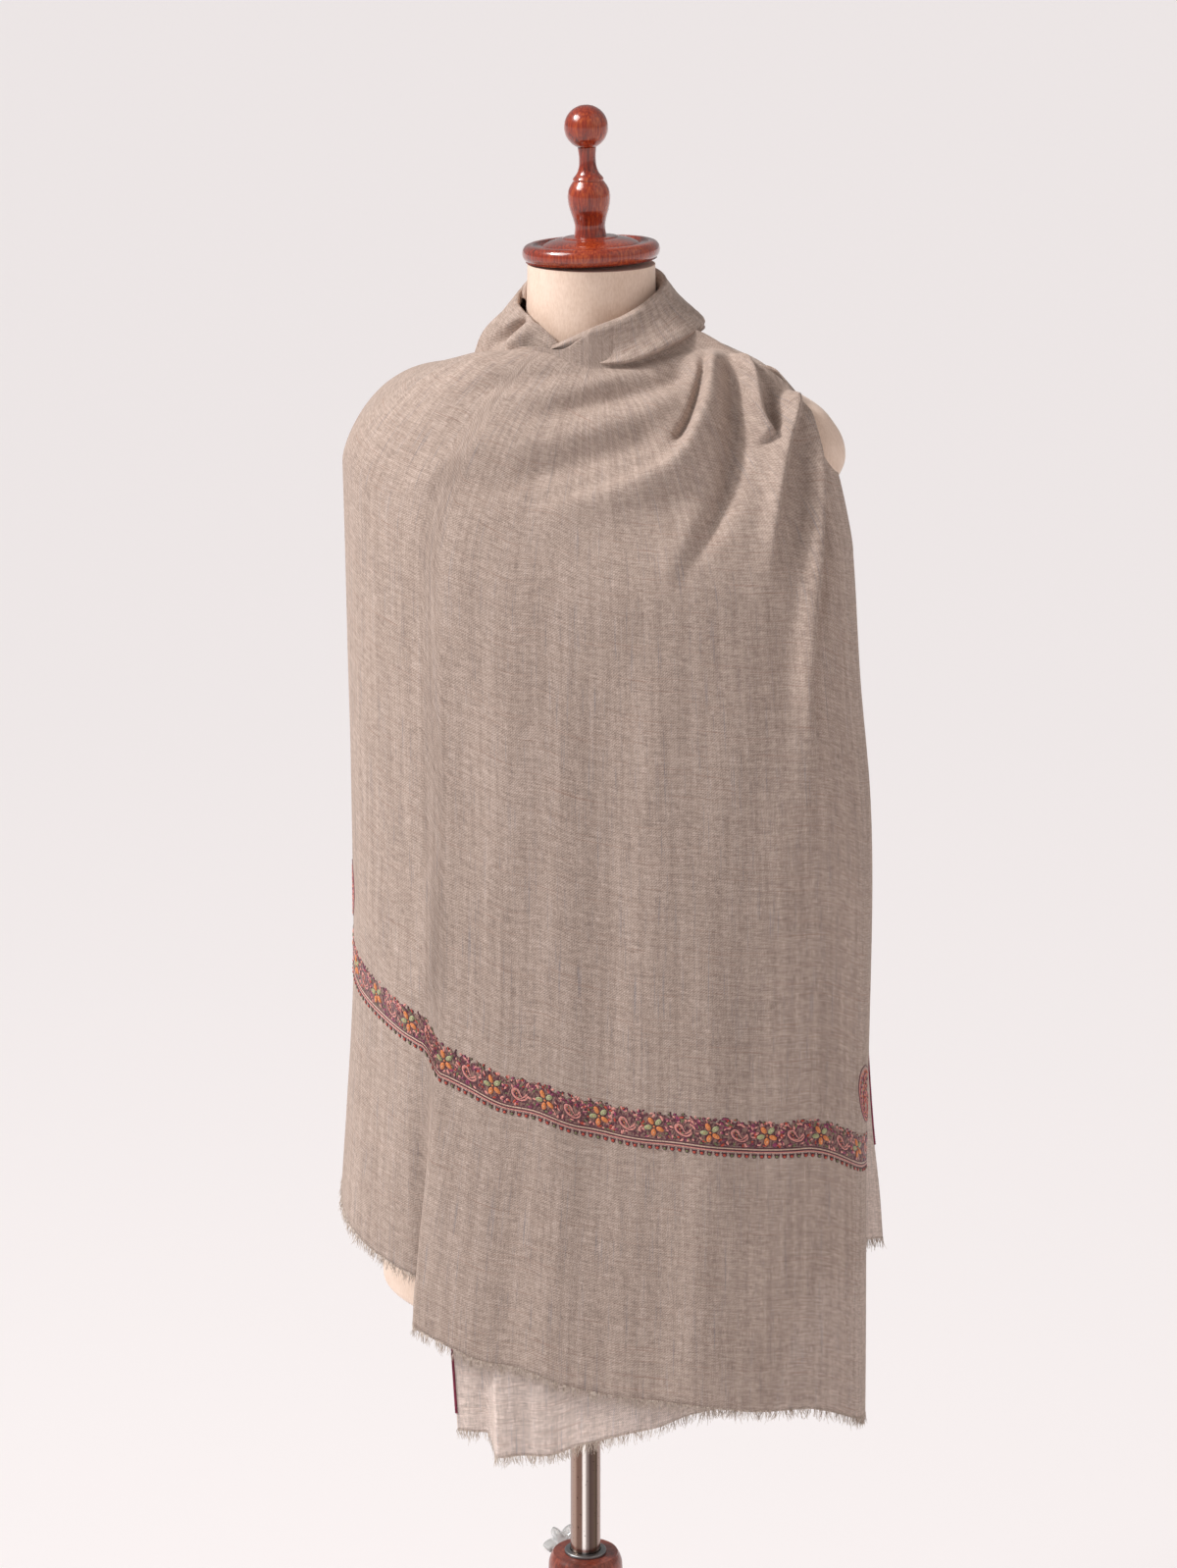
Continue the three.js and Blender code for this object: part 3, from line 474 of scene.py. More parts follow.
jersey, jersey_shader = new_material(
    "cream_cotton_jersey", Base_Color=linear("#e6d2bb"), Roughness=0.85)
jersey_shader.inputs["Sheen Weight"].default_value = 0.25
jersey_shader.inputs["Sheen Roughness"].default_value = 0.5
place = add_node(jersey, "ShaderNodeTexCoord").outputs["Object"]
knit_place = add_node(jersey, "ShaderNodeMapping", {"Vector": place}, {"Scale": (1, 1, 0.35)})
knit = add_node(
    jersey, "ShaderNodeTexNoise", {"Vector": knit_place.outputs["Vector"]},
    {"Scale": 750.0, "Detail": 3.0, "Roughness": 0.6})
handled = add_node(
    jersey, "ShaderNodeTexNoise", {"Vector": place}, {"Scale": 34.0, "Detail": 4.0})
knit_mix = add_node(
    jersey, "ShaderNodeMix", {"A": knit.outputs["Fac"], "B": handled.outputs["Fac"]},
    {"Factor": 0.5})
knit_ramp = add_node(
    jersey, "ShaderNodeValToRGB", {"Fac": knit_mix.outputs["Result"]},
    stops=((0.3, "#dbbea8"), (0.62, "#f2dac8")))
join(jersey, knit_ramp.outputs["Color"], jersey_shader.inputs["Base Color"])
knit_bump = add_node(
    jersey, "ShaderNodeBump", {"Height": knit.outputs["Fac"]},
    {"Strength": 0.3, "Distance": 0.0004})
join(jersey, knit_bump.outputs["Normal"], jersey_shader.inputs["Normal"])
torso = mesh_piece(
    "torso", torso_points, grid_faces(len(torso_points), TORSO_STEPS, wrap_columns=True), jersey)
tidy_mesh(torso)
keep_edges(torso, 60)
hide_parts("torso")
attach(torso, "dressed_form")

socket = turned_piece("form_socket", rounded_profile([
    [13, 584.7], [13, 584.7], [18.2, 584.7], [19, 585.6], [19, 592.7], [19, 592.7], [37.4, 593.7],
    [38, 594.4], [38, 596.7], [38, 596.7], [0, 596.7], [0, 596.7], [0, 595.4], [0, 595.4],
    [13, 595.4]]), dull_steel, 64, closed=True)
keep_edges(socket)
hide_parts("form_socket")
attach(socket, "dressed_form")

# ------------------------------------------------------------------ neck cap and finial
# Both are turned in a close-grained wood, stained cherry red and given a thick gloss lacquer. The
# finial is doweled into the cap, and the cap leans a little to the form's right.
cherry_lacquer = lacquered_wood(
    "cherry_gloss_lacquer", "#c65f2a", "#962f13", "#4e1008", grain_mm=1.6, shine=0.25, coat=0.9)
CAP_LEAN = -0.045


def lean_top(piece):
    """Leans a piece turned about the Z axis to the form's right and stands it on the neck."""
    count = len(piece.data.vertices)
    points = np.empty(count * 3)
    piece.data.vertices.foreach_get("co", points)
    x, y, z = points.reshape(-1, 3).T
    turned = np.stack([
        x * math.cos(CAP_LEAN) + z * math.sin(CAP_LEAN), y + NECK_BACK * 0.001,
        -x * math.sin(CAP_LEAN) + z * math.cos(CAP_LEAN) + (NECK_TOP + 2.6) * 0.001], -1)
    piece.data.vertices.foreach_set("co", turned.ravel())
    piece.data.update()


neck_cap = turned_piece("neck_cap", rounded_profile([
    [0, 0], [0, 0], [46, 0], [50.5, 1.2], [53.2, 4.8], [53.2, 9.2], [50.8, 12.8], [47, 14],
    [44.6, 13.4], [44.6, 13.4], [43.6, 12.2], [38.5, 11.9], [36.5, 13.2], [36.5, 13.2], [33, 14.8],
    [27, 16.6], [22, 17.4], [22, 17.4], [20.6, 18.3], [17.5, 18.7], [17.5, 18.7], [0, 18.2]]),
    cherry_lacquer)
lean_top(neck_cap)
keep_edges(neck_cap)
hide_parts("neck_cap")
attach(neck_cap, "dressed_form")

TOP_FOOT = 18.5
ball = [[17 * math.cos(a), TOP_FOOT + 83.7 + 17 * math.sin(a)] for a in np.linspace(-1.18, 1.57, 14)]
finial = turned_piece("finial", rounded_profile([
    [0, TOP_FOOT], [0, TOP_FOOT], [12.8, TOP_FOOT], [12.8, TOP_FOOT], [12.2, TOP_FOOT + 3],
    [11.8, TOP_FOOT + 8], [13.0, TOP_FOOT + 14], [15.4, TOP_FOOT + 22], [16.5, TOP_FOOT + 30],
    [15.4, TOP_FOOT + 36.5], [12.4, TOP_FOOT + 41.6], [11.6, TOP_FOOT + 42.6],
    [11.6, TOP_FOOT + 42.6], [12, TOP_FOOT + 44], [11, TOP_FOOT + 45.6], [11, TOP_FOOT + 45.6],
    [8.4, TOP_FOOT + 49], [6.8, TOP_FOOT + 54], [6.5, TOP_FOOT + 61], [7.2, TOP_FOOT + 68],
    [7.2, TOP_FOOT + 68], *ball[:-1], [0, TOP_FOOT + 100.7]]), cherry_lacquer, 64)
lean_top(finial)
keep_edges(finial, 30)
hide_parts("finial")
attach(finial, "dressed_form")

# ------------------------------------------------------------------ shawl: the draped form
# One cloth of goat's down, hand-spun and woven in a fine 2/2 twill, 1 m wide and 2 m long. It is
# drawn square to its hanging front: x runs to the form's left and y back from that front.
SECTIONS = np.array([
    [480, 203, 229, 128, 128], [677, 201, 228, 130, 131], [750, 197, 227, 131, 134],
    [900, 189, 227, 132, 136], [1050, 188, 224, 132, 136], [1150, 190, 215, 130, 138],
    [1240, 191, 208, 124, 142], [1300, 192, 203, 118, 144]])
TOP_LINE = np.array([
    [-108, -160, 97, 1341, 1285], [-95, -131, 74, 1361, 1290], [-80, -98, 42, 1373, 1295],
    [-62, -69, -6, 1387, 1285], [-45, -47, -40, 1393, 1260], [-28, -27, -51, 1391, 1225],
    [0, 6, -59, 1381, 1200], [25, 40, -54, 1384, 1210], [45, 70, -44, 1391, 1225],
    [60, 101, -44, 1394, 1240], [72, 128, -54, 1385, 1245], [82, 154, -62, 1368, 1240]])
HEM_FRONT = np.array([
    [-38, 605], [-28, 596], [-18, 586], [-9, 583], [3, 568], [14, 565], [31, 560], [43, 560],
    [73, 536], [82, 532]], float)
HEM_SIDE = np.array([[-108, 700], [-79, 675], [-63, 663], [-51, 655], [-36, 646]], float)
BAND_HEIGHT = 31
BAND_ABOVE_HEM = 229
CLOTH_TURN = math.radians(27)


def to_object(points):
    """From the hanging front's own axes to the object's: a turn about the upright axis."""
    x, y, z = np.moveaxis(points, -1, 0)
    return np.stack([
        x * math.cos(CLOTH_TURN) - y * math.sin(CLOTH_TURN),
        x * math.sin(CLOTH_TURN) + y * math.cos(CLOTH_TURN), z], -1)


def ring(turn, height, inset=0):
    """The drape's horizontal section: a squared ellipse whose halves differ right and left, front
    and back, then slanted so that its right end lies further back."""
    sine, cosine = np.sin(np.radians(turn)), np.cos(np.radians(turn))
    half = np.where(
        sine < 0, read_table(SECTIONS, height, 1), read_table(SECTIONS, height, 2)) - inset
    depth = np.where(
        cosine < 0, read_table(SECTIONS, height, 4), read_table(SECTIONS, height, 3)) - inset
    x = half * np.sign(sine) * abs(sine) ** 0.75
    y = -depth * np.sign(cosine) * abs(cosine) ** 0.75
    return x, y - 0.22 * x


def outer_cloth(turn, zone, hem, inset=0, dip=0):
    """A point of the outer end. Zone 0 to 1 goes over the shoulder in a falling curve, 1 to 2
    hangs to the band, 2 to 3 crosses the band and 3 to 4 ends at the hem. The band runs nearer
    the hem by dip."""
    turn, zone, hem, dip = np.broadcast_arrays(turn, zone, hem, dip)
    top_x, top_y, top_z, hang = (read_table(TOP_LINE, turn, k) for k in (1, 2, 3, 4))
    over = np.clip(zone, 0, 1)
    reach = 1 - (1 - over) ** 1.7
    side = np.where(turn < 0, np.minimum(abs(turn) / 75, 1), 0)
    drop = 1 - (1 - reach ** (1.3 + 0.3 * side)) ** (0.66 - 0.06 * side)
    band_top = hem + BAND_ABOVE_HEM - dip + BAND_HEIGHT / 2
    below = hang + (band_top - hang) * np.clip(zone - 1, 0, 1)
    below = below - BAND_HEIGHT * np.clip(zone - 2, 0, 1)
    below = below + (hem - band_top + BAND_HEIGHT) * np.clip(zone - 3, 0, 1)
    end_x, end_y = ring(turn, np.where(zone > 1, below, hang), inset)
    x = top_x + (end_x - top_x) * reach
    y = top_y + (end_y - top_y) * reach
    z = np.where(zone > 1, below, top_z + (hang - top_z) * drop)
    return np.stack([x, y, z], -1)


def crease(x, z, path, height, left, right, start=0.0, end=0.35):
    """How far one crease lifts each point. The distance to the bent line through the path's
    points falls off as a bell curve, as wide as left on one side of the line, seen along it, and
    as right on the other; a minus height sinks it. It fades in over start and out over end."""
    line = rounded_profile(path, 10)
    flat_x, flat_z = x.ravel(), z.ravel()
    reach = 3 * max(left, right)
    near = ((flat_x > line[:, 0].min() - reach) & (flat_x < line[:, 0].max() + reach)
            & (flat_z > line[:, 1].min() - reach) & (flat_z < line[:, 1].max() + reach))
    lift = np.zeros(flat_x.shape)
    px, pz = flat_x[near][:, None], flat_z[near][:, None]
    first, step = line[:-1], np.diff(line, axis=0)
    share = np.clip(
        ((px - first[:, 0]) * step[:, 0] + (pz - first[:, 1]) * step[:, 1])
        / (step ** 2).sum(1), 0, 1)
    dx = px - first[:, 0] - share * step[:, 0]
    dz = pz - first[:, 1] - share * step[:, 1]
    away = np.hypot(dx, dz)
    best = away.argmin(1)
    row = np.arange(len(best))
    side = np.sign(step[best, 0] * dz[row, best] - step[best, 1] * dx[row, best])
    width = np.where(side > 0, left, right)
    along = (best + share[row, best]) / len(step)
    fade = np.clip(along / start, 0, 1) if start else 1.0
    fade = fade * smooth_step(1 - along, 0, end) if end else fade
    lift[near] = height * fade * np.exp(-(away[row, best] / width) ** 2)
    return lift.reshape(x.shape)


def unit(vectors):
    """The vectors, each divided by its own length."""
    return vectors / np.maximum(np.linalg.norm(vectors, axis=-1, keepdims=True), 1e-9)


def grid_normals(points):
    """Unit normals of a grid of points, from the slopes along its rows and columns."""
    return unit(np.cross(np.gradient(points, axis=0), np.gradient(points, axis=1)))


def arc_lengths(points, axis):
    """Distance run along a grid's rows or columns, starting at 0."""
    steps = np.linalg.norm(np.diff(points, axis=axis), axis=-1)
    start = [[0, 0], [0, 0]]
    start[axis] = [1, 0]
    return np.cumsum(np.pad(steps, start), axis=axis)


def add_map(piece, u, v):
    """A UV map named cloth whose units are metres of cloth, u across and v up the warp."""
    layer = piece.data.uv_layers.new(name="cloth")
    corner = np.empty(len(piece.data.loops), int)
    piece.data.loops.foreach_get("vertex_index", corner)
    pair = np.stack([u.ravel(), v.ravel()], -1)[corner] * 0.001
    layer.data.foreach_set("uv", pair.astype(np.float32).ravel())


def add_shade(piece, name, values):
    """A point attribute with one number for each point."""
    attribute = piece.data.attributes.new(name, "FLOAT", "POINT")
    attribute.data.foreach_set("value", np.asarray(values, np.float32).ravel())


# ------------------------------------------------------------------ shawl: the cloth's own stuff
# Undyed goat's down in mixed taupe, grey and sandy-brown yarns, spun by hand, so that single warp
# and weft yarns run thicker, paler or bluer for a hand's length. It's fulled and quite matt.

# Each odd yarn has its cell's width and length in millimetres, where its noise lies, the noise
# values from which it starts to show and shows fully, its colour, and how much of that shows.
ODD_YARNS = (
    (0.9, 55, 23.3, 0.6, 0.7, "#7f828c", 0.42), (60, 1.0, 31.7, 0.6, 0.7, "#96705f", 0.34),
    (0.8, 9, 41.1, 0.68, 0.76, "#d8cbbd", 0.6), (9, 0.8, 47.1, 0.69, 0.77, "#dccfc1", 0.5))
# Painted light: where only one layer hangs, the cloth's colour is multiplied up by this, paler and a
# little bluer, in place of light that comes through it.
PAINTED_LIGHT_THROUGH = (1.68, 1.8, 1.92, 1.0)  # a single layer's colour over that of cloth with more behind


def pashmina_cloth(name, light, middle, dark):
    """Heathered twill. Two sets of streaks, one along each set of yarns, pick between the yarn
    colours; a diagonal wave gives the 2/2 twill, drawn at 1.6 mm, twice its true step, so that it can
    be made out; the pale attribute lightens the cloth where only one layer of it hangs, as painted
    light coming through that layer."""
    material, shader = new_material(name, Roughness=0.92)
    shader.inputs["Specular IOR Level"].default_value = 0.15
    shader.inputs["Sheen Weight"].default_value = 0.22
    shader.inputs["Sheen Roughness"].default_value = 0.45
    shader.inputs["Sheen Tint"].default_value = linear("#e6dcd2")
    place = add_node(material, "ShaderNodeUVMap", uv_map="cloth").outputs["UV"]

    def streaks(across, along, detail, offset):
        """Noise in cells of across by along millimetres."""
        mapping = add_node(
            material, "ShaderNodeMapping", {"Vector": place},
            {"Scale": (1000 / across, 1000 / along, 1), "Location": (offset, offset, offset)})
        noise = add_node(
            material, "ShaderNodeTexNoise", {"Vector": mapping.outputs["Vector"]},
            {"Scale": 1.0, "Detail": detail, "Roughness": 0.6})
        return noise.outputs["Fac"]

    warp = add_node(
        material, "ShaderNodeMix", {"A": streaks(0.75, 7, 3, 3.1), "B": streaks(4.5, 110, 3, 7.7)},
        {"Factor": 0.4})
    weft = add_node(
        material, "ShaderNodeMix", {"A": streaks(7, 0.75, 3, 11.3), "B": streaks(90, 4.0, 3, 17.9)},
        {"Factor": 0.2})
    yarn = add_node(
        material, "ShaderNodeMix", {"A": warp.outputs["Result"], "B": weft.outputs["Result"]},
        {"Factor": 0.5}).outputs["Result"]
    colour = add_node(
        material, "ShaderNodeValToRGB", {"Fac": yarn},
        stops=((0.38, dark), (0.5, middle), (0.62, light))).outputs["Color"]
    for across, along, offset, none_below, all_above, odd_colour, amount in ODD_YARNS:
        shows = add_node(
            material, "ShaderNodeValToRGB", {"Fac": streaks(across, along, 2, offset)},
            stops=((none_below, "#000000"), (all_above, "#ffffff")))
        share = add_node(
            material, "ShaderNodeMath", {0: shows.outputs["Color"]}, {1: amount},
            operation="MULTIPLY")
        colour = add_node(
            material, "ShaderNodeMix", {"A": colour, "Factor": share.outputs[0]},
            {"B": linear(odd_colour)}, data_type="RGBA").outputs["Result"]
    twill_turn = add_node(
        material, "ShaderNodeMapping", {"Vector": place},
        {"Scale": (1000, 1000, 1), "Rotation": (0, 0, math.radians(45))})
    twill = add_node(
        material, "ShaderNodeTexWave", {"Vector": twill_turn.outputs["Vector"]},
        {"Scale": 0.2, "Distortion": 1.2, "Detail": 1.0, "Detail Scale": 0.4})
    twill_tone = add_node(
        material, "ShaderNodeValToRGB", {"Fac": twill.outputs["Fac"]},
        stops=((0.0, "#d9d9d9"), (1.0, "#ffffff")))
    colour = add_node(
        material, "ShaderNodeMix", {"A": colour, "B": twill_tone.outputs["Color"]},
        {"Factor": 0.5}, data_type="RGBA", blend_type="MULTIPLY").outputs["Result"]
    # Painted light: the pale attribute multiplies the colour up where light would come through a
    # single layer.
    pale = add_node(material, "ShaderNodeAttribute", attribute_name="pale").outputs["Fac"]
    colour = add_node(
        material, "ShaderNodeMix", {"A": colour, "Factor": pale}, {"B": PAINTED_LIGHT_THROUGH},
        data_type="RGBA", blend_type="MULTIPLY").outputs["Result"]
    join(material, colour, shader.inputs["Base Color"])
    fibre = add_node(
        material, "ShaderNodeTexNoise", {"Vector": place}, {"Scale": 1500.0, "Detail": 2.0})
    weave = add_node(
        material, "ShaderNodeMix", {"A": twill.outputs["Fac"], "B": yarn}, {"Factor": 0.5})
    height = add_node(
        material, "ShaderNodeMix", {"A": weave.outputs["Result"], "B": fibre.outputs["Fac"]},
        {"Factor": 0.35})
    bump = add_node(
        material, "ShaderNodeBump", {"Height": height.outputs["Result"]},
        {"Strength": 0.5, "Distance": 0.0005})
    join(material, bump.outputs["Normal"], shader.inputs["Normal"])
    return material


taupe_pashmina = pashmina_cloth("taupe_pashmina_twill", "#d4c1b6", "#b6a397", "#94837a")


def cloth_piece(name, points, material, pale=0.0, u=None, v=None, thick=0.5):
    """A sheet from a grid of points in the hanging front's axes, with its map in metres of cloth
    and a wall added on its inner side."""
    rows, columns = points.shape[:2]
    piece = mesh_piece(name, to_object(points), grid_faces(rows, columns)[:, ::-1], material)
    u = arc_lengths(points, 1)[-1][None, :] if u is None else u
    v = -arc_lengths(points, 0) if v is None else v
    add_map(piece, *np.broadcast_arrays(u, v))
    # The pale attribute carries painted light coming through a single layer.
    add_shade(piece, "pale", np.broadcast_to(pale, (rows, columns)))
    wall = piece.modifiers.new("wall", "SOLIDIFY")
    wall.thickness = thick * 0.001
    wall.offset = -1
    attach(piece, "dressed_form")
    return piece


# ------------------------------------------------------------------ shawl: outer end
# The outer end comes over the form's left shoulder, crosses the chest and hangs in front. At the
# form's right hip a pleat opens downwards, and over its left arm the cloth turns back on itself.
FOLD_TURN = -37
FRONT_END = 80
SIDE_END = -106
PLEAT_STEPS = 22
PLEAT_SPREAD = 9  # degrees of the section that the closed pleat takes up, higher on the cloth
PLEAT_WIDTH = 14
PLEAT_DEPTH = 8
PLEAT_HEM_OUT, PLEAT_HEM_IN = 646, 604
BAND_DIP = 18
OVER_ROWS, HANG_ROWS, BAND_STEPS, HEM_STEPS = 84, 72, 8, 36
side_turns = np.linspace(SIDE_END, FOLD_TURN, 37)[:-1]
front_turns = np.append(np.linspace(FOLD_TURN, 10, 37)[1:], np.linspace(10, FRONT_END, 115)[1:])
pleat_share = np.linspace(0, 1, PLEAT_STEPS)
column_turn = np.concatenate([side_turns, np.full(PLEAT_STEPS, float(FOLD_TURN)), front_turns])
column_hem = np.concatenate([
    read_table(HEM_SIDE, side_turns, 1),
    PLEAT_HEM_OUT + (PLEAT_HEM_IN - PLEAT_HEM_OUT) * smooth_step(pleat_share, 0, 1),
    read_table(HEM_FRONT, front_turns, 1)])
column_dip = np.concatenate([
    BAND_DIP * (smooth_step(-side_turns, 42, 84) + 1 - smooth_step(-side_turns, 37, 82)),
    BAND_DIP * (1 - smooth_step(pleat_share, 0, 1)), 4 * smooth_step(front_turns, 30, 80)])
zones = np.concatenate([
    np.linspace(0, 1, OVER_ROWS, endpoint=False), np.linspace(1, 2, HANG_ROWS, endpoint=False),
    np.linspace(2, 3, BAND_STEPS, endpoint=False), np.linspace(3, 4, HEM_STEPS)])

# The pleat opens from nothing 900 mm above the floor to its full depth at 570 mm. Its bent line is
# given as steps to the side and steps back, both as shares of the full size.
plain = outer_cloth(column_turn[None, :], zones[:, None], column_hem[None, :], 0, column_dip)
opening = smooth_step(900 - plain[..., 2], 0, 330)
spread_turn = column_turn[None, :] + PLEAT_SPREAD * (1 - opening) * np.where(
    column_turn > FOLD_TURN, 1 - smooth_step(column_turn, FOLD_TURN, 10), 0)
pleat_columns = slice(len(side_turns), len(side_turns) + PLEAT_STEPS)
spread_turn[:, pleat_columns] += PLEAT_SPREAD * (1 - opening[:, pleat_columns]) * pleat_share
# The edge over the arm draws back a little at the shoulder, so that the form shows beside it.
drawn_back = np.exp(-((plain[..., 2] - 1298) / 46) ** 2)
spread_turn -= 0.8 * smooth_step(column_turn, 45, 80)[None, :] * drawn_back
outer = outer_cloth(spread_turn, zones[:, None], column_hem[None, :], 0, column_dip)
pleat_line = rounded_profile([
    [0, 1], [0.55, 0.98], [0.95, 0.88], [1.0, 0.74], [0.6, 0.6], [0.1, 0.42], [-0.1, 0.22],
    [-0.08, 0.06], [0, 0]], 8)
pleat_run = np.linspace(0, 1, len(pleat_line))
pleat_side = np.interp(pleat_share, pleat_run, pleat_line[:, 0])
pleat_back = np.interp(pleat_share, pleat_run, pleat_line[:, 1])
open_here = opening[:, pleat_columns]
outer[:, pleat_columns, 0] += PLEAT_WIDTH * open_here * pleat_side
outer[:, pleat_columns, 1] += open_here * (
    PLEAT_DEPTH * pleat_back - PLEAT_WIDTH * 0.5 * pleat_side)
beside = smooth_step(side_turns, -60, FOLD_TURN)
outer[:, :len(side_turns), 1] += PLEAT_DEPTH * opening[:, :len(side_turns)] * beside

x, z = outer[..., 0], outer[..., 2]
lift = np.zeros(x.shape)
over_fade = smooth_step(zones, 0, 0.12)[:, None]
# Each row is a crease's path, height, two widths, and where it gives them its two fades.
for fold in (
        # under the collar: a soft roll, the long shade line beneath it, and two softer pairs
        ([[84, 1396], [52, 1388], [18, 1376], [-20, 1366]], 5, 6, 6, 0.1),
        ([[84, 1382], [50, 1369], [12, 1359], [-27, 1351], [-72, 1344]], -7, 7, 8, 0.1, 0.5),
        ([[-4, 1384], [-40, 1374], [-78, 1366], [-116, 1350]], -3.6, 7, 8, 0.2),
        ([[72, 1362], [40, 1350], [0, 1338], [-45, 1326], [-95, 1308]], 5, 9, 11, 0.15, 0.5),
        ([[60, 1338], [30, 1326], [-10, 1313], [-60, 1298], [-105, 1284]], -4.5, 9, 10, 0.15, 0.5),
        ([[-30, 1344], [-70, 1330], [-120, 1300], [-150, 1262]], 3, 12, 12, 0.3, 0.4),
        # first pleat: a sharp valley, and a rounded edge that sweeps across the chest
        ([[93, 1396], [88, 1372], [78, 1346], [63, 1329]], -8, 3.4, 3.2, 0, 0.25),
        ([[99, 1396], [95, 1370], [85, 1344], [70, 1320], [33, 1301], [-21, 1283],
         [-54, 1275]], 14.0, 17, 5.5, 0, 0.55),
        # the broad trough right of it and its soft shade downwards
        ([[108, 1388], [112, 1362], [113, 1325], [102, 1285], [82, 1250],
         [64, 1215]], -11, 8, 9, 0, 0.5),
        ([[96, 1290], [70, 1250], [48, 1215]], 3.0, 14, 12, 0.3, 0.5),
        # second pleat with the hollow at its tip
        ([[124, 1387], [129, 1363], [133, 1345], [141, 1331]], 12, 3.0, 9, 0, 0.1),
        ([[136, 1372], [139, 1350], [144, 1334]], -6, 4.5, 4.0, 0.35, 0.1),
        ([[141, 1330], [128, 1290], [112, 1230]], 3.0, 14, 12, 0.1, 0.6),
        # the cloth stands off the form's left shoulder, with all its pleats
        ([[100, 1392], [142, 1352], [166, 1310], [174, 1256]], 7, 30, 26, 0, 0.4),
        # third pleat, a panel with a crisp edge on its left side of the arm
        ([[150, 1363], [155, 1350], [151, 1326], [146, 1295], [141, 1254],
         [139, 1215]], 13, 2.2, 10, 0.15, 0.45),
        ([[163, 1340], [163, 1310], [160, 1262], [156, 1210]], -3.5, 6, 6, 0.2, 0.4),
        # fourth pleat: a long crisp edge down the outer side
        ([[150, 1366], [163, 1343], [171, 1316], [175, 1280], [174, 1245], [170, 1205],
         [168, 1150], [172, 1100], [177, 1006]], 12, 2.2, 9, 0.12, 0.3),
        ([[178, 1290], [182, 1255], [181, 1222], [178, 1190], [180, 1130]], -4, 5, 4, 0.2, 0.4),
        # the form's right shoulder
        ([[-60, 1384], [-100, 1366], [-140, 1334]], 3.0, 12, 14, 0.2),
        ([[-84, 1380], [-118, 1358], [-150, 1322]], -2.0, 6, 6, 0.2),
        # the hip: faint ridges that run down into the pleat
        ([[-165, 985], [-163, 930], [-148, 885], [-138, 845]], 2.2, 8, 10, 0.2),
        ([[-118, 1010], [-121, 940], [-124, 880]], 2.0, 6, 9, 0.3, 0.2),
        ([[-128, 800], [-131, 730], [-133, 650]], -2.2, 8, 8, 0.3, 0)):
    lift += crease(x, z, *fold)
hanging = smooth_step(1230 - z, 0, 160)
lift += hanging * (
    1.1 * np.sin(x / 17.0 + z / 260.0) + 0.8 * np.sin(x / 9.3 - z / 190.0 + 1.7)
    + 0.6 * np.sin(x / 31.0 + z / 75.0))
closed_turn = column_turn + PLEAT_SPREAD * np.where(
    column_turn > FOLD_TURN, 1 - smooth_step(column_turn, FOLD_TURN, 10), 0)
closed_turn[pleat_columns] += PLEAT_SPREAD * pleat_share
outward = grid_normals(outer_cloth(closed_turn, zones[:, None], column_hem, 0, column_dip))
outer = outer + outward * (lift * over_fade)[..., None]

# Beside the neck the cloth runs on a little way: back under the collar and the middle stretch on
# the left, up under the collar in front, and back over the middle stretch on the right.
NECK_X = NECK_BACK * math.sin(CLOTH_TURN)
NECK_Y = NECK_BACK * math.cos(CLOTH_TURN)
over_neck = 9
ramp_on = np.linspace(1, 0, over_neck + 1)[:-1, None, None]
left_on = smooth_step(column_turn, 66, 80)[None, :, None]
right_on = 1 - smooth_step(column_turn, -88, -66)[None, :, None]
front_on = (1 - left_on) * (1 - right_on)
to_neck = unit([NECK_X, NECK_Y, 0] - outer[:1] * [1, 1, 0])
NECK_RISE = np.array([
    [-110, 0, 0], [-60, 0, 0], [-45, 2, 0], [-28, 7, 0.7], [-15, 19, 1.5], [0, 31, 2.5],
    [12, 35, 4.2], [24, 20, 5.5], [38, 14, 6], [60, 14, 28], [85, 14, 28]], float)
neck_rise = read_table(NECK_RISE, column_turn, 1)[None, :, None]
neck_run = read_table(NECK_RISE, column_turn, 2)[None, :, None]
top_rows = outer[:1] + ramp_on * (
    14 * left_on * [-0.15, 1.0, -0.12] + front_on * (neck_run * to_neck + neck_rise * [0, 0, 1])
    + 36 * right_on * (ramp_on * [0.0, 0, -0.14] + [0.06, 1.0, -0.24]))
outer = np.concatenate([top_rows, outer])

# Over the arm the edge turns back through half a circle and 20 mm of it lies behind.
edge = outer[:, -1]
inward = unit(edge - outer[:, -3])
behind = np.stack([-inward[:, 1], inward[:, 0], np.zeros(len(inward))], -1)
turn_angle = np.linspace(0, np.pi, 9)[1:]
TURN_RADIUS = 1.9
bend = [
    edge + TURN_RADIUS * (math.sin(a) * inward + (1 - math.cos(a)) * behind) for a in turn_angle]
lap = [bend[-1] - inward * reach + behind * 0.2 for reach in (5, 10, 15, 20)]
outer = np.concatenate([outer, np.stack(bend + lap, 1)], 1)
hang_row = over_neck + OVER_ROWS
band_rows = (hang_row + HANG_ROWS, hang_row + HANG_ROWS + BAND_STEPS)
TURNED_COLUMNS = len(bend) + len(lap)
outer_u = arc_lengths(outer, 1)[sum(band_rows) // 2][None, :]
run_down = arc_lengths(outer, 0)
outer_v = run_down[-1:] - run_down
# Painted light: where only one layer hangs, low on the form's left and below 690 mm, the cloth is
# painted paler, as light coming through it.
painted_light_through_mask = smooth_step(
    outer[..., 0] - 141 - (outer[..., 2] - 563) * 0.358, 0, 9) * smooth_step(
        690 - outer[..., 2], 0, 40)
outer_piece = cloth_piece(
    "shawl_outer_end", outer, taupe_pashmina, pale=0.12 * painted_light_through_mask, u=outer_u, v=outer_v)
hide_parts("shawl_outer_front", "shawl_outer_side")

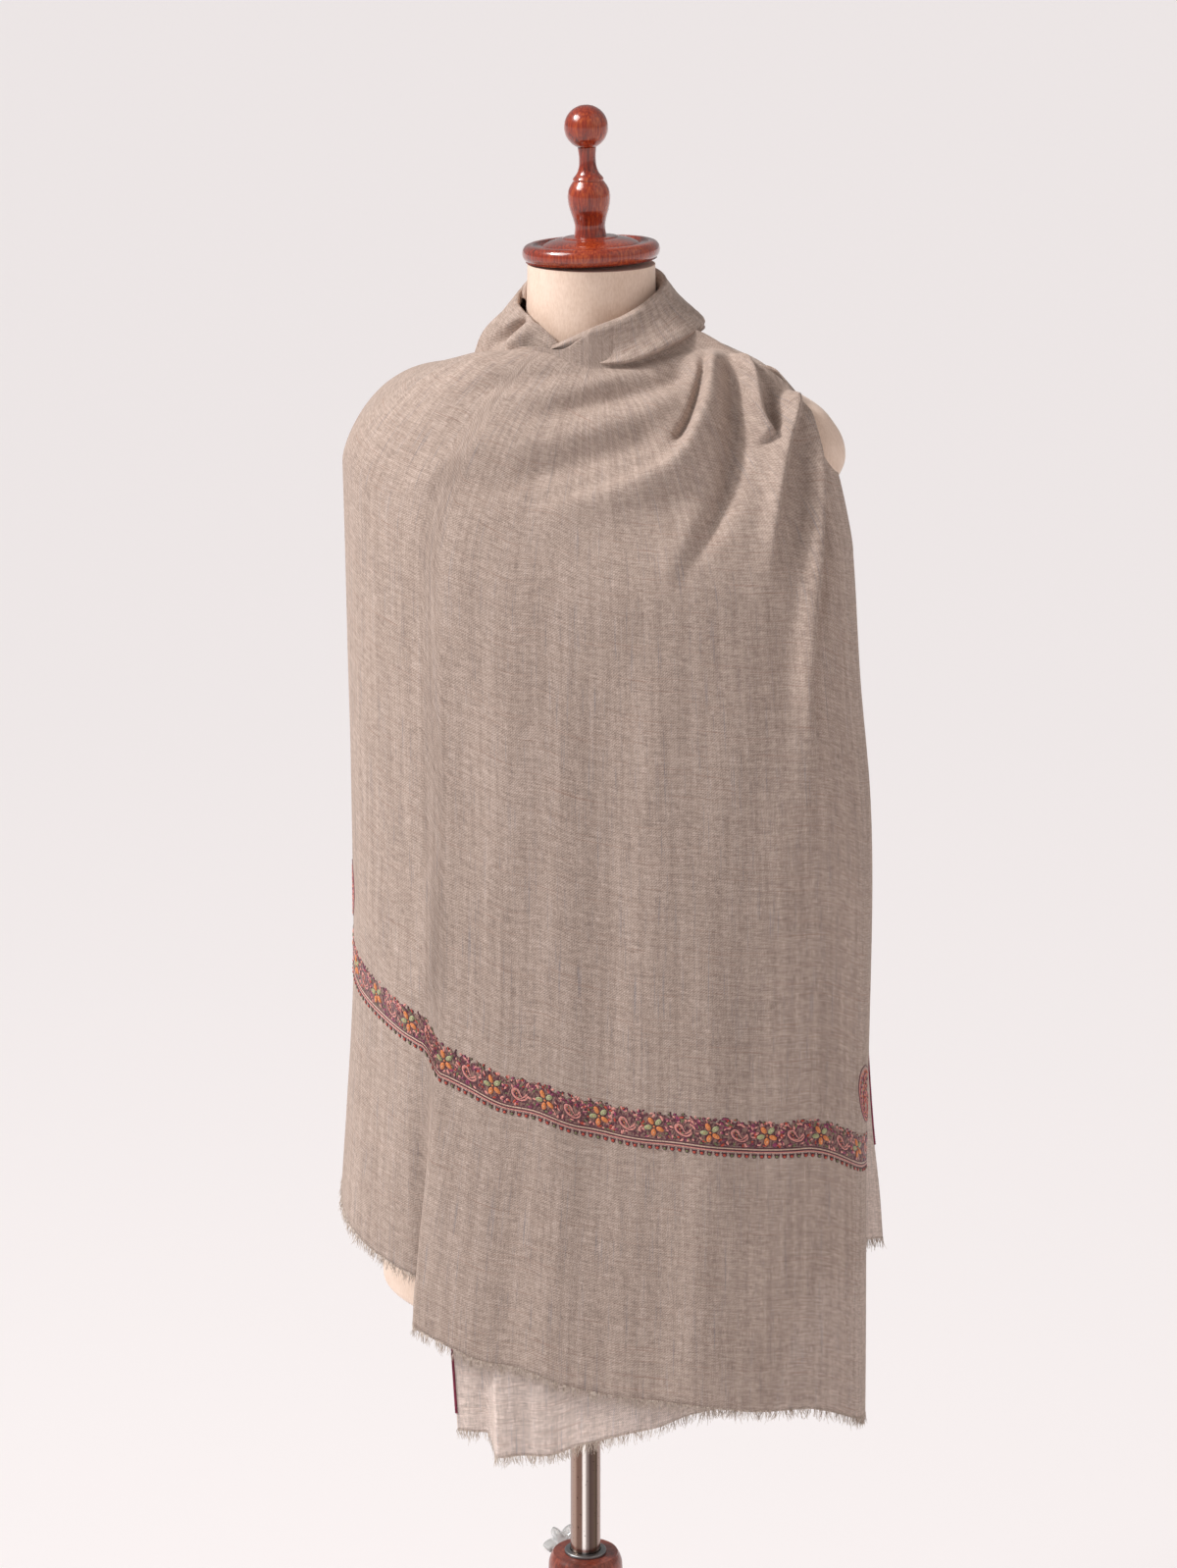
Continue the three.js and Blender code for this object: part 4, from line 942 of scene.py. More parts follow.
# ------------------------------------------------------------------ shawl: collar
# The outer end's top, rolled outwards round the neck. Its foot stands off the chest as a rounded
# lip in front of the form's left shoulder and runs into the chest on the right.
COLLAR = np.array([
    [-29, 1396, 62, 1388, 64, 0], [-14, 1404, 62, 1386, 64, 0], [5, 1413, 61.5, 1384, 66, 0],
    [22, 1419, 61, 1386, 74, 0.2], [39, 1426, 60, 1393, 80, 0.6], [52, 1431, 59, 1398, 84, 0.8],
    [62, 1434, 58.5, 1401, 86, 0.9], [75, 1437, 58, 1402, 87, 0.8], [100, 1441, 57, 1404, 85, 0.7],
    [140, 1447, 57, 1412, 77, 1], [180, 1449, 57.5, 1414, 76, 1], [210, 1446, 57, 1410, 74, 1],
    [235, 1438, 55.5, 1406, 66, 0.5], [264, 1424, 54, 1398, 61, 0]])
around = np.linspace(-29, 264, 196)
rim_z, rim_r, foot_z, foot_r, lip = (read_table(COLLAR, around, k) for k in (1, 2, 3, 4, 5))
hollow = 7.5 * np.exp(-((around - 92) / 30) ** 2)
sections = np.stack([
    np.stack([rim_r - 5.4, rim_z - 20], -1), np.stack([rim_r - 5.0, rim_z - 7], -1),
    np.stack([rim_r - 3.0, rim_z - 1.2], -1), np.stack([rim_r, rim_z + 0.4], -1),
    np.stack([rim_r + 3.2, rim_z - 2.2], -1),
    np.stack([(rim_r + foot_r) / 2 + 3.2 * lip + 1.2 - hollow, (rim_z + foot_z) / 2 + 2], -1),
    np.stack([foot_r + 1.6 * lip, foot_z + 5], -1), np.stack([foot_r + 0.2, foot_z], -1),
    np.stack([foot_r - 4.5, foot_z - 2.2 * lip - 1], -1),
    np.stack([foot_r - 10, foot_z + 1 - 4 * (1 - lip)], -1)])
COLLAR_ROWS = 48


def spline_rows(controls, count):
    """Curves through the control points of many sections at once, each span a cubic whose
    slopes are half the step between neighbours, resampled evenly to count rows."""
    padded = np.concatenate([2 * controls[:1] - controls[1:2], controls,
                             2 * controls[-1:] - controls[-2:-1]])
    at = np.linspace(0, len(controls) - 1 - 1e-9, count)
    span = at.astype(int)
    t = (at - span)[:, None, None]
    return catmull(*(padded[span + k] for k in range(4)), t)


collar_section = spline_rows(sections, COLLAR_ROWS)
share = np.linspace(0, 1, COLLAR_ROWS)[:, None]
bearing = np.radians(around)[None, :]
# Soft rolls that run round the collar and slip down towards its foot, and one pinch at its top.
outside = smooth_step(share, 0.36, 0.46) * (1 - smooth_step(share, 0.86, 0.95))
roll = 1.6 * np.sin(9.0 * (share - 0.4) * 2.2 + around[None, :] / 26.0)
roll = roll + 1.5 * np.exp(-((around[None, :] - 62 - 40 * (share - 0.5)) / 7.0) ** 2)
roll = roll - 2.4 * np.exp(-((around[None, :] - 74 - 46 * (share - 0.5)) / 5.5) ** 2)
roll = roll + 1.4 * np.exp(-((around[None, :] - 120 - 60 * (share - 0.5)) / 9.0) ** 2)
roll = roll - 1.6 * np.exp(-((around[None, :] - 165 + 50 * (share - 0.5)) / 8.0) ** 2)
roll = roll * smooth_step(around[None, :], -20, 10)
radius = collar_section[..., 0] + roll * outside
collar_points = np.stack([
    NECK_X + radius * np.sin(bearing), NECK_Y - radius * np.cos(bearing),
    collar_section[..., 1] + 0.6 * roll * outside], -1)
collar = cloth_piece("shawl_collar", collar_points, taupe_pashmina, thick=0.6)
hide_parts("shawl_collar")

# ------------------------------------------------------------------ shawl: fold at the neck
# Where the inner end rises to the right of the neck it gapes in one deep fold before it goes under
# the collar's two ends.
NECK_FOLD = np.array([
    [-148, 1440, 58.5, 1380, 72, 1350, 122], [-132, 1437, 58.5, 1380, 78, 1346, 134],
    [-118, 1433, 58.5, 1384, 84, 1348, 128], [-108, 1430, 58, 1389, 86, 1354, 112],
    [-96, 1428, 58, 1396, 86, 1362, 98], [-86, 1425, 58, 1400, 84, 1370, 92],
    [-74, 1421, 58, 1402, 79, 1376, 84], [-58, 1416, 58, 1401, 73, 1382, 77],
    [-44, 1411, 58, 1398, 64, 1386, 68], [-32, 1403, 58, 1393, 62, 1384, 63],
    [-18, 1391, 59, 1386, 61, 1380, 62]], float)
around = np.linspace(-148, -18, 150)
share = np.linspace(0, 1, 56)[:, None]
top_z, top_r, mid_z, mid_r, foot_z, foot_r = (
    read_table(NECK_FOLD, around, k)[None, :] for k in (1, 2, 3, 4, 5, 6))
radius = top_r * (1 - share) ** 2 + 2 * mid_r * share * (1 - share) + foot_r * share ** 2
height = top_z * (1 - share) ** 2 + 2 * mid_z * share * (1 - share) + foot_z * share ** 2
pocket = np.exp(-((around[None, :] + 67 + 22 * (share - 0.42)) / 5.0) ** 2) * np.exp(
    -((share - 0.42) / 0.26) ** 2)
lips = np.exp(-((around[None, :] + 53 + 12 * (share - 0.4)) / 6.0) ** 2) * np.exp(
    -((share - 0.4) / 0.34) ** 2)
lips = lips + 0.9 * np.exp(-((around[None, :] + 84 + 10 * (share - 0.4)) / 6.5) ** 2) * np.exp(
    -((share - 0.45) / 0.34) ** 2)
radius = radius - 15 * pocket + 6.5 * lips
bearing = np.radians(around)[None, :]
neck_points = np.stack([
    NECK_X + radius * np.sin(bearing), NECK_Y - radius * np.cos(bearing), height], -1)
rim = neck_points[:1] + np.stack([
    -2.2 * np.sin(bearing), 2.2 * np.cos(bearing), np.full(bearing.shape, -1.0)], -1)
inside = rim + [[[0, 0, -9]]]
neck_points = np.concatenate([inside, rim, neck_points])
neck_fold = cloth_piece("shawl_neck_fold", neck_points, taupe_pashmina, thick=0.6)
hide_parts("shawl_neck_fold")

# ------------------------------------------------------------------ shawl: inner end
# The shawl's other end hangs under the outer one and shows below its hem, with a small pleat at its
# crimson-edged side. Only one layer of cloth hangs there, so its colour is painted paler: painted
# light coming through it.
INNER_EDGES = np.array([[0, -44, 30], [1, -40, 40], [2.5, -31, 43], [4, -24.5, 34]], float)
HEM_INNER = np.array([
    [-25, 518], [-18, 520], [-16.2, 503], [-10, 507], [-3, 512], [2, 530], [9, 542], [17, 557],
    [34, 566]], float)
inner_zones = np.concatenate([np.linspace(1.05, 3, 40, endpoint=False), np.linspace(3, 4, 60)])
across = np.concatenate([np.linspace(0, 0.2, 40, endpoint=False), np.linspace(0.2, 1, 90)])
start = read_table(INNER_EDGES, inner_zones, 1)[:, None]
stop = read_table(INNER_EDGES, inner_zones, 2)[:, None]
inner_turn = start + (stop - start) * across
inner_hem = read_table(HEM_INNER, read_table(INNER_EDGES, 4, 1) + (34 + 24.5) * across, 1)[None, :]
hidden_inset = 2.4 + 3.6 * (1 - smooth_step(inner_zones, 3.0, 3.6))[:, None]
inner = outer_cloth(inner_turn, inner_zones[:, None], inner_hem, hidden_inset)
set_back = 1 - smooth_step(across, 0.105, 0.165)
inner[..., 1] += 6.5 * set_back * smooth_step(inner_zones, 2.5, 4)[:, None]
inner[..., 0] += 5 * np.exp(-((across - 0.13) / 0.03) ** 2) * smooth_step(
    inner_zones, 2.5, 4)[:, None]
ripple = smooth_step(inner_zones, 2.8, 4)[:, None]
inner[..., 1] += ripple * (
    1.4 * np.sin(across * 21 + 0.6) + 0.8 * np.sin(across * 47 + 2.0) + 2.6)
inner_u = arc_lengths(inner, 1)[-1:]
inner_run = arc_lengths(inner, 0)
inner_v = inner_run[-1:] - inner_run
inner_end = cloth_piece(
    "shawl_inner_end", inner, taupe_pashmina, pale=0.75, u=inner_u + 300, v=inner_v)
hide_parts("shawl_inner_front")

# ------------------------------------------------------------------ shawl: return behind the arm
# The strip that turns back behind the form's left arm, down to the cloth's far selvedge.
RETURN = np.array([
    [681, 240], [717, 237], [776, 230], [850, 224], [920, 219], [1000, 216], [1080, 212],
    [1160, 207]], float)
return_z = np.linspace(1160, 681, 120)
across = np.linspace(0, 1, 14)[None, :]
fold_x, fold_y = ring(np.full(return_z.shape, 80.0), return_z)
far_x = read_table(RETURN, return_z, 1)
returned = np.stack([
    (fold_x - 3)[:, None] + (far_x - fold_x + 3)[:, None] * across,
    fold_y[:, None] + 3.5 + 24 * across + 1.2 * np.sin(return_z / 33)[:, None] * across,
    return_z[:, None] - 8 * across], -1)
return_run = arc_lengths(returned, 0)
# Painted light: the return is painted paler, as light coming through a single layer.
return_piece = cloth_piece(
    "shawl_return", returned, taupe_pashmina, pale=0.45,
    u=600 + arc_lengths(returned, 1)[-1:], v=return_run[-1:] - return_run)
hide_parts("shawl_return")

# ------------------------------------------------------------------ shawl: middle, down the back
# The cloth's middle lies over both shoulders and falls down the back in long soft folds, wider
# and deeper towards the crimson-edged selvedge along its hem.
BACK_TOP = np.array([
    [108, 154, -60.4, 1368.2, 1270], [116, 128, -52.4, 1385.2, 1270],
    [124, 101, -42.4, 1394.2, 1270], [136, 80, -24, 1399, 1270], [158, 52, 50, 1402, 1272],
    [180, 4, 74, 1405, 1275], [205, -40, 72, 1392, 1280], [225, -72, 76, 1366, 1285],
    [240, -102, 86, 1355, 1285], [249, -122, 98, 1345, 1285]])
BACK_HEM = np.array([[108, 655], [130, 640], [180, 628], [220, 640], [249, 668]], float)
back_turn = np.linspace(108, 249, 220)[None, :]
back_zone = np.concatenate([np.linspace(0, 1, 66, endpoint=False), np.linspace(1, 2, 124)])[:, None]
top_x, top_y, top_z, hang = (read_table(BACK_TOP, back_turn, k) for k in (1, 2, 3, 4))
back_hem = read_table(BACK_HEM, back_turn, 1)
back_z = np.where(back_zone > 1, hang + (back_hem - hang) * (back_zone - 1), hang)
end_x, end_y = ring(np.broadcast_to(back_turn, back_z.shape), back_z, 3)
end_x = end_x - 30 * (1 - smooth_step(back_turn, 108, 150))
low = np.maximum(back_zone - 0.6, 0)
end_y = end_y + (5 + 5 * np.sin(np.radians(back_turn * 9))) * low
reach = 1 - (1 - np.clip(back_zone, 0, 1)) ** 1.7
drop = 1 - (1 - reach ** 2) ** 0.55
back = np.stack([
    top_x + (end_x - top_x) * reach, top_y + (end_y - top_y) * reach,
    np.where(back_zone > 1, back_z, top_z + (hang - top_z) * drop)], -1)
fold_depth = smooth_step(back_zone, 0.35, 1.5)
folds = (
    7.5 + 5.2 * np.sin(back_turn / 5.1 + 0.5 * back_zone)
    + 2.8 * np.sin(back_turn / 2.9 + 2.1 + 0.4 * back_zone)
    + 1.3 * np.sin(back_turn / 1.7 - 0.6 * back_zone))
back_x, back_height = back[..., 0], back[..., 2]
slanting = np.zeros(back_x.shape)
for fold in (
        ([[60, 1398], [20, 1330], [-30, 1240], [-60, 1120]], 4.0, 12, 18, 0.2),
        ([[-60, 1392], [-30, 1320], [10, 1230], [30, 1100]], 3.5, 14, 12, 0.2),
        ([[10, 1398], [-8, 1330], [-20, 1250]], -3.5, 10, 10, 0.2),
        ([[95, 1385], [110, 1300], [112, 1180]], 3.5, 10, 14, 0.2),
        ([[-100, 1370], [-125, 1290], [-128, 1180]], 3.5, 12, 10, 0.2)):
    slanting += crease(back_x, back_height, *fold)
back = back + grid_normals(back) * (fold_depth * folds + slanting)[..., None]
back_run = arc_lengths(back, 0)
# A little painted light coming through the cloth, given by the pale attribute.
back_piece = cloth_piece(
    "shawl_middle", back, taupe_pashmina, pale=0.04, u=900 + arc_lengths(back, 1)[150:151],
    v=back_run[-1:] - back_run)
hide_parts("shawl_back")

# ------------------------------------------------------------------ shawl: embroidered border
# A narrow border worked by hand across the outer end in twisted silk: a row of buds, paired guard
# lines, and a strip of five-petalled flowers and curled leaves, each outlined in dark red. A
# larger leaf stands above the border in each corner.
outer_normals = grid_normals(outer)
band_run = arc_lengths(outer, 1)[sum(band_rows) // 2]
drop_to_band = outer[hang_row, :, 2] - outer[band_rows[0], :, 2]


def on_cloth(along, above, high):
    """Points in the hanging front's axes for places on the outer end: along is the distance from
    its selvedge on the border's middle line, above the height over the border's lower line, and
    high the distance from the cloth. Between the cloth's own grid points it goes evenly."""
    column = np.interp(along, band_run, np.arange(len(band_run)))
    hang_drop = np.interp(along, band_run, drop_to_band)
    row = np.where(
        above > BAND_HEIGHT, band_rows[0] - HANG_ROWS * (above - BAND_HEIGHT) / hang_drop,
        np.where(above > 0, band_rows[1] - BAND_STEPS * above / BAND_HEIGHT,
                 band_rows[1] - (HEM_STEPS - 1) * above / (BAND_ABOVE_HEM - BAND_HEIGHT / 2)))
    c0 = np.clip(np.floor(column).astype(int), 0, outer.shape[1] - 2)
    r0 = np.clip(np.floor(row).astype(int), 0, outer.shape[0] - 2)
    c, r = (column - c0)[..., None], (row - r0)[..., None]

    def between(grid):
        upper = grid[r0, c0] * (1 - c) + grid[r0, c0 + 1] * c
        lower = grid[r0 + 1, c0] * (1 - c) + grid[r0 + 1, c0 + 1] * c
        return upper * (1 - r) + lower * r

    return between(outer) + unit(between(outer_normals)) * (np.asarray(high) + 0.05)[..., None]


THREADS = {
    "orange": "#e8894a", "gold": "#f2ad66", "sage": "#abae80", "maroon": "#641b33",
    "pink": "#ee9f94", "red": "#c4452b", "olive": "#74744b", "magenta": "#98305f",
    "cream": "#eccbb4", "plum": "#4c1526", "dun": "#9a7468"}
THREAD_COLOURS = {name: np.array(linear(colour)) for name, colour in THREADS.items()}
DOME_RINGS = np.array([[1.0, 0.0], [0.86, 0.62], [0.5, 0.92]])
DOME_STEPS = 9


def domes(rows):
    """Satin-stitched spots as low domes. Each row gives a spot's place along and above, its half
    length, half width, turn in radians, height and colour; a ring's height is that of an
    ellipsoid at its share of the radius."""
    place = np.array([row[:6] for row in rows], float)
    step = np.linspace(0, 2 * np.pi, DOME_STEPS, endpoint=False)
    ring_r = np.append(np.repeat(DOME_RINGS[:, 0], DOME_STEPS), 0)
    ring_h = np.append(np.repeat(DOME_RINGS[:, 1], DOME_STEPS), 1)
    ring_a = np.append(np.tile(step, len(DOME_RINGS)), 0)
    long = place[:, 2:3] * ring_r * np.cos(ring_a)
    wide = place[:, 3:4] * ring_r * np.sin(ring_a)
    cosine, sine = np.cos(place[:, 4:5]), np.sin(place[:, 4:5])
    points = on_cloth(
        place[:, :1] + long * cosine - wide * sine, place[:, 1:2] + long * sine + wide * cosine,
        place[:, 5:6] * ring_h)
    k = np.arange(DOME_STEPS)
    nxt = (k + 1) % DOME_STEPS
    faces = []
    for level in range(len(DOME_RINGS) - 1):
        low, high = level * DOME_STEPS, (level + 1) * DOME_STEPS
        faces += [np.stack([low + k, low + nxt, high + nxt], -1),
                  np.stack([low + k, high + nxt, high + k], -1)]
    top = (len(DOME_RINGS) - 1) * DOME_STEPS
    faces.append(np.stack([top + k, top + nxt, np.full(DOME_STEPS, len(ring_r) - 1)], -1))
    faces = np.concatenate(faces)
    all_faces = faces[None] + (np.arange(len(rows)) * len(ring_r))[:, None, None]
    colours = np.array([THREAD_COLOURS[row[6]] for row in rows])
    return points.reshape(-1, 3), all_faces.reshape(-1, 3), np.repeat(colours, len(ring_r), axis=0)


def stems(paths, width=0.45, high=0.45):
    """Lines of stem stitch: a half-round ridge along each path of places, whose points lie at
    five even angles over the line."""
    points, faces, colours = [], [], []
    start = 0
    phi = np.linspace(0, np.pi, 5)
    for path, colour in paths:
        path = np.asarray(path, float)
        step = unit(np.gradient(path, axis=0))
        along = path[:, :1] - step[:, 1:] * width * np.cos(phi)
        above = path[:, 1:] + step[:, :1] * width * np.cos(phi)
        points.append(on_cloth(along, above, np.broadcast_to(high * np.sin(phi), along.shape)))
        quads = grid_faces(len(path), 5) + start
        faces.append(np.concatenate([quads[:, [0, 1, 2]], quads[:, [0, 2, 3]]]))
        colours.append(np.repeat(THREAD_COLOURS[colour][None], len(path) * 5, axis=0))
        start += len(path) * 5
    return (np.concatenate([p.reshape(-1, 3) for p in points]), np.concatenate(faces),
            np.concatenate(colours))


def leaf_outline(scale=1.0):
    """The curled leaf's outline, charted in millimetres: a round head at the upper left and a tail
    that hooks up at the right."""
    return scale * rounded_profile([
        [7.4, 1.6], [8.1, -0.9], [6.4, -3.7], [2.4, -4.6], [-2.2, -2.8], [-5.1, 0.8],
        [-4.7, 3.8], [-2.0, 5.0], [0.7, 3.5], [2.0, 0.5], [3.9, -1.8], [5.8, -1.5], [7.0, 0.7]], 5)


random = np.random.default_rng(11)
MOTIF_STEP = 44.5
BUD_STEP = 5.9
GUARD_POINTS = 420
FLOWER_HEIGHT = 19.6
LEAF_HEIGHT = 18.6
PETALS = 5
SEEDS = 190
spots, lines = [], []
for line_height, colour in ((5.4, "pink"), (6.5, "maroon"), (7.7, "cream"), (8.9, "maroon")):
    along = np.linspace(1, band_run[-1] - 2, GUARD_POINTS)
    lines.append((np.stack([along, np.full(GUARD_POINTS, line_height)], -1), colour))
for index, along in enumerate(np.arange(4, band_run[-1] - 3, BUD_STEP)):
    lean = random.uniform(-0.3, 0.3)
    spots.append((along, 2.1, 2.0, 1.9, lean, 0.45, "plum"))
    spots.append((along, 2.0, 1.35, 1.25, lean, 0.9, ("red", "red", "olive")[index % 3]))
    spots.append((along - 1.7, 3.6, 0.9, 0.5, 0.9, 0.5, "maroon"))
    spots.append((along + 1.7, 3.6, 0.9, 0.5, -0.9, 0.5, "maroon"))
for middle in np.arange(14, band_run[-1] - 8, MOTIF_STEP):
    turn0 = random.uniform(-0.12, 0.12)
    for k in range(PETALS):
        bearing = math.radians(118 - 360 / PETALS * k) + turn0
        petal = (middle + 5.0 * math.cos(bearing), FLOWER_HEIGHT + 5.0 * math.sin(bearing))
        petal_colour = ("orange", "sage", "orange", "orange", "sage")[k]
        vein_colour = ("gold", "cream")[k % 2]
        spots.append((*petal, 4.1, 2.9, bearing, 0.5, "plum"))
        spots.append((*petal, 3.5, 2.2, bearing, 1.2, petal_colour))
        spots.append((petal[0] + 0.3, petal[1], 1.5, 0.6, bearing, 1.3, vein_colour))
    spots.append((middle, FLOWER_HEIGHT, 1.5, 1.5, 0, 0.7, "plum"))
    spots.append((middle, FLOWER_HEIGHT, 1.0, 1.0, 0, 1.15, "orange"))
    leaf = middle + 21.5
    if leaf + 9 < band_run[-1]:
        outline = leaf_outline()
        spots.append((leaf - 2.2, 18.9, 4.2, 3.6, -0.6, 0.35, "plum"))
        spots.append((leaf + 2.8, 15.6, 3.2, 1.7, -0.5, 0.35, "plum"))
        for scale, colour in ((1.18, "plum"), (1.0, "pink"), (0.92, "pink")):
            lines.append((outline * scale + [leaf, LEAF_HEIGHT], colour))
        lines.append((outline[6:-16] * [0.72, 0.7] + [leaf - 0.5, 18.8], "pink"))
        for dx, dy, colour in ((-2.9, 2.0, "red"), (-1.1, 0.6, "orange"), (-3.2, 0.0, "magenta"),
                               (-0.6, -1.4, "red"), (-1.9, 3.2, "olive"), (1.2, -2.4, "olive")):
            spots.append((leaf + dx, 18.8 + dy, 0.75, 0.6, dx, 0.7, colour))
    rosette = middle + 31.5
    for k in range(6):
        bearing = k * math.pi / 3
        spots.append((rosette + 2.0 * math.cos(bearing), 25.5 + 2.0 * math.sin(bearing), 1.1,
                      0.7, bearing, 0.6, ("pink", "magenta")[k % 2]))
    wave = np.linspace(middle + 6, middle + MOTIF_STEP - 6, 46)
    lines.append((np.stack([wave, 26.2 + 2.2 * np.sin((wave - middle) / 4.3)], -1), "maroon"))
    lines.append((np.stack([wave, 12.2 + 1.0 * np.sin((wave - middle) / 3.1)], -1), "maroon"))
    filler = np.stack([
        random.uniform(middle - 8, middle + MOTIF_STEP - 8, SEEDS),
        10.2 + 21.6 * random.random(SEEDS)], -1)
    kinds = random.choice(
        ["maroon", "dun", "plum", "magenta", "olive", "red", "pink", "maroon", "pink"], SEEDS)
    for (along, above), colour in zip(filler, kinds):
        from_flower = math.hypot((along - middle + 20) % MOTIF_STEP - 20, above - FLOWER_HEIGHT)
        clear_flower = from_flower > 8.0
        clear_leaf = abs(along - leaf - 1) > 8.6 or abs(above - LEAF_HEIGHT) > 5.8
        if clear_flower and clear_leaf:
            size = random.uniform(0.9, 1.5) * (0.8 if above > 29 else 1)
            lean = random.uniform(0, 3.1)
            spots.append((along, above, 1.5 * size, 0.75 * size, lean, 0.6, colour))
            if colour in ("red", "olive", "magenta"):
                spots.append((along, above, 1.9 * size, 1.15 * size, 0.4, 0.35, "plum"))
spots = [spot for spot in spots if 0.5 < spot[0] < band_run[-1] - 0.5]

thread_silk, silk_shader = new_material("dyed_twisted_silk", Roughness=0.55)
silk_shader.inputs["Sheen Weight"].default_value = 0.3
thread_colour = add_node(
    thread_silk, "ShaderNodeAttribute", attribute_name="thread").outputs["Color"]
place = add_node(thread_silk, "ShaderNodeTexCoord").outputs["Object"]
stitches = add_node(
    thread_silk, "ShaderNodeTexNoise", {"Vector": place}, {"Scale": 1300.0, "Detail": 2.0})
stitch_tone = add_node(
    thread_silk, "ShaderNodeValToRGB", {"Fac": stitches.outputs["Fac"]},
    stops=((0.35, "#b4b4b4"), (0.6, "#ffffff")))
toned = add_node(
    thread_silk, "ShaderNodeMix", {"A": thread_colour, "B": stitch_tone.outputs["Color"]},
    {"Factor": 0.8}, data_type="RGBA", blend_type="MULTIPLY")
join(thread_silk, toned.outputs["Result"], silk_shader.inputs["Base Color"])
stitch_bump = add_node(
    thread_silk, "ShaderNodeBump", {"Height": stitches.outputs["Fac"]},
    {"Strength": 0.5, "Distance": 0.0003})
join(thread_silk, stitch_bump.outputs["Normal"], silk_shader.inputs["Normal"])


def needlework(name, parts):
    """Joins spots and lines into one piece and stores each point's thread colour."""
    offsets = np.cumsum([0] + [len(part[0]) for part in parts[:-1]])
    points = np.concatenate([part[0] for part in parts])
    faces = np.concatenate([part[1] + offset for part, offset in zip(parts, offsets)])
    piece = mesh_piece(name, to_object(points), faces, thread_silk)
    attribute = piece.data.attributes.new("thread", "FLOAT_COLOR", "POINT")
    colours = np.concatenate([part[2] for part in parts]).astype(np.float32)
    attribute.data.foreach_set("color", colours.ravel())
    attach(piece, "dressed_form")
    return piece


# Between the motifs the strip is worked closely in short dark stitches, so little cloth shows.
GROUND_FOOT = 9.8
GROUND_ROWS, GROUND_COLUMNS = 12, 680
ground_along = np.linspace(1, band_run[-1] - 1, GROUND_COLUMNS)[None, :]
ground_share = np.linspace(0, 1, GROUND_ROWS)[:, None]
ground_top = 29 + 1.1 * np.sin(ground_along / 1.9) + 0.6 * np.sin(ground_along / 0.83)
ground_above = GROUND_FOOT + (ground_top - GROUND_FOOT) * ground_share
ground_along, ground_above = np.broadcast_arrays(ground_along, ground_above)
ground_high = random.uniform(0.12, 0.42, ground_along.shape)
ground_points = on_cloth(ground_along, ground_above, ground_high)
ground_faces = grid_faces(GROUND_ROWS, GROUND_COLUMNS)
ground_faces = np.concatenate([ground_faces[:, [0, 1, 2]], ground_faces[:, [0, 2, 3]]])
ground_kinds = np.array([THREAD_COLOURS[name] for name in ("maroon", "plum", "dun", "dun")])
ground_colours = ground_kinds[random.integers(0, 4, ground_along.size)]
ground = (ground_points.reshape(-1, 3), ground_faces, ground_colours)

border = needlework("embroidered_border", [domes(spots), stems(lines), ground])
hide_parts("border_front", "border_side")


def corner_leaf(name, middle, bottom, mirrored, *nodes):
    """The corner's large leaf, 50 mm tall: nested outlines with rows of seeds between them."""
    def nested(scale):
        """The leaf is charted lying down; here it stands on its round head, and a smaller one
        moves towards that head by its lack of size."""
        chart = leaf_outline(scale) + (3.6 - scale) * np.array([-1.9, 1.0])
        upright = np.stack([chart[:, 1] * (-1 if mirrored else 1), chart[:, 0]], -1)
        return upright + [middle, bottom + 25]

    rows, paths = [], []
    for scale, colour in ((3.6, "maroon"), (3.3, "pink"), (2.9, "magenta"), (2.3, "pink"),
                          (1.7, "maroon"), (1.1, "red")):
        paths.append((nested(scale), colour))
    for scale, colour, other in ((3.1, "orange", "red"), (2.6, "maroon", "olive"),
                                 (2.0, "magenta", "orange"), (1.4, "red", "pink")):
        for index, (px, py) in enumerate(nested(scale)[::2]):
            rows.append((px, py, 1.1, 0.7, index * 0.7, 0.7, (colour, other)[index % 2]))
    rows = [row for row in rows if 0.5 < row[0] < band_run[-1] - 0.5]
    piece = needlework(name, [domes(rows), stems(paths, 0.5, 0.5)])
    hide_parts(*nodes)
    return piece


left_leaf = corner_leaf(
    "corner_leaf_left", band_run[-1 - TURNED_COLUMNS] - 12, BAND_HEIGHT + 4, False,
    "paisley_left")
right_leaf = corner_leaf("corner_leaf_right", 77, BAND_HEIGHT + 9, True, "paisley_right")

# ------------------------------------------------------------------ shawl: fringes
# At both ends the last weft yarns are drawn out, and the loose warp ends stand 4 to 11 mm below
# the weave, bent and crossed as they fall.
fringe_yarn, yarn_shader = new_material(
    "loose_pashmina_yarn", Base_Color=linear("#b8a596"), Roughness=0.95)
place = add_node(fringe_yarn, "ShaderNodeTexCoord").outputs["Object"]
yarn_noise = add_node(
    fringe_yarn, "ShaderNodeTexNoise", {"Vector": place}, {"Scale": 420.0, "Detail": 2.0})
yarn_ramp = add_node(
    fringe_yarn, "ShaderNodeValToRGB", {"Fac": yarn_noise.outputs["Fac"]},
    stops=((0.35, "#b3a193"), (0.65, "#e2d4c8")))
join(fringe_yarn, yarn_ramp.outputs["Color"], yarn_shader.inputs["Base Color"])


YARN_RINGS, YARN_SIDES = 6, 3


def edge_run(edge):
    """The distance run along an edge to each of its points, starting at 0."""
    return np.append(0, np.cumsum(np.linalg.norm(np.diff(edge, axis=0), axis=1)))


def at_run(at, run, values):
    """An edge's three-part values at the given distances along it."""
    return np.stack([np.interp(at, run, values[:, k]) for k in range(3)], -1)


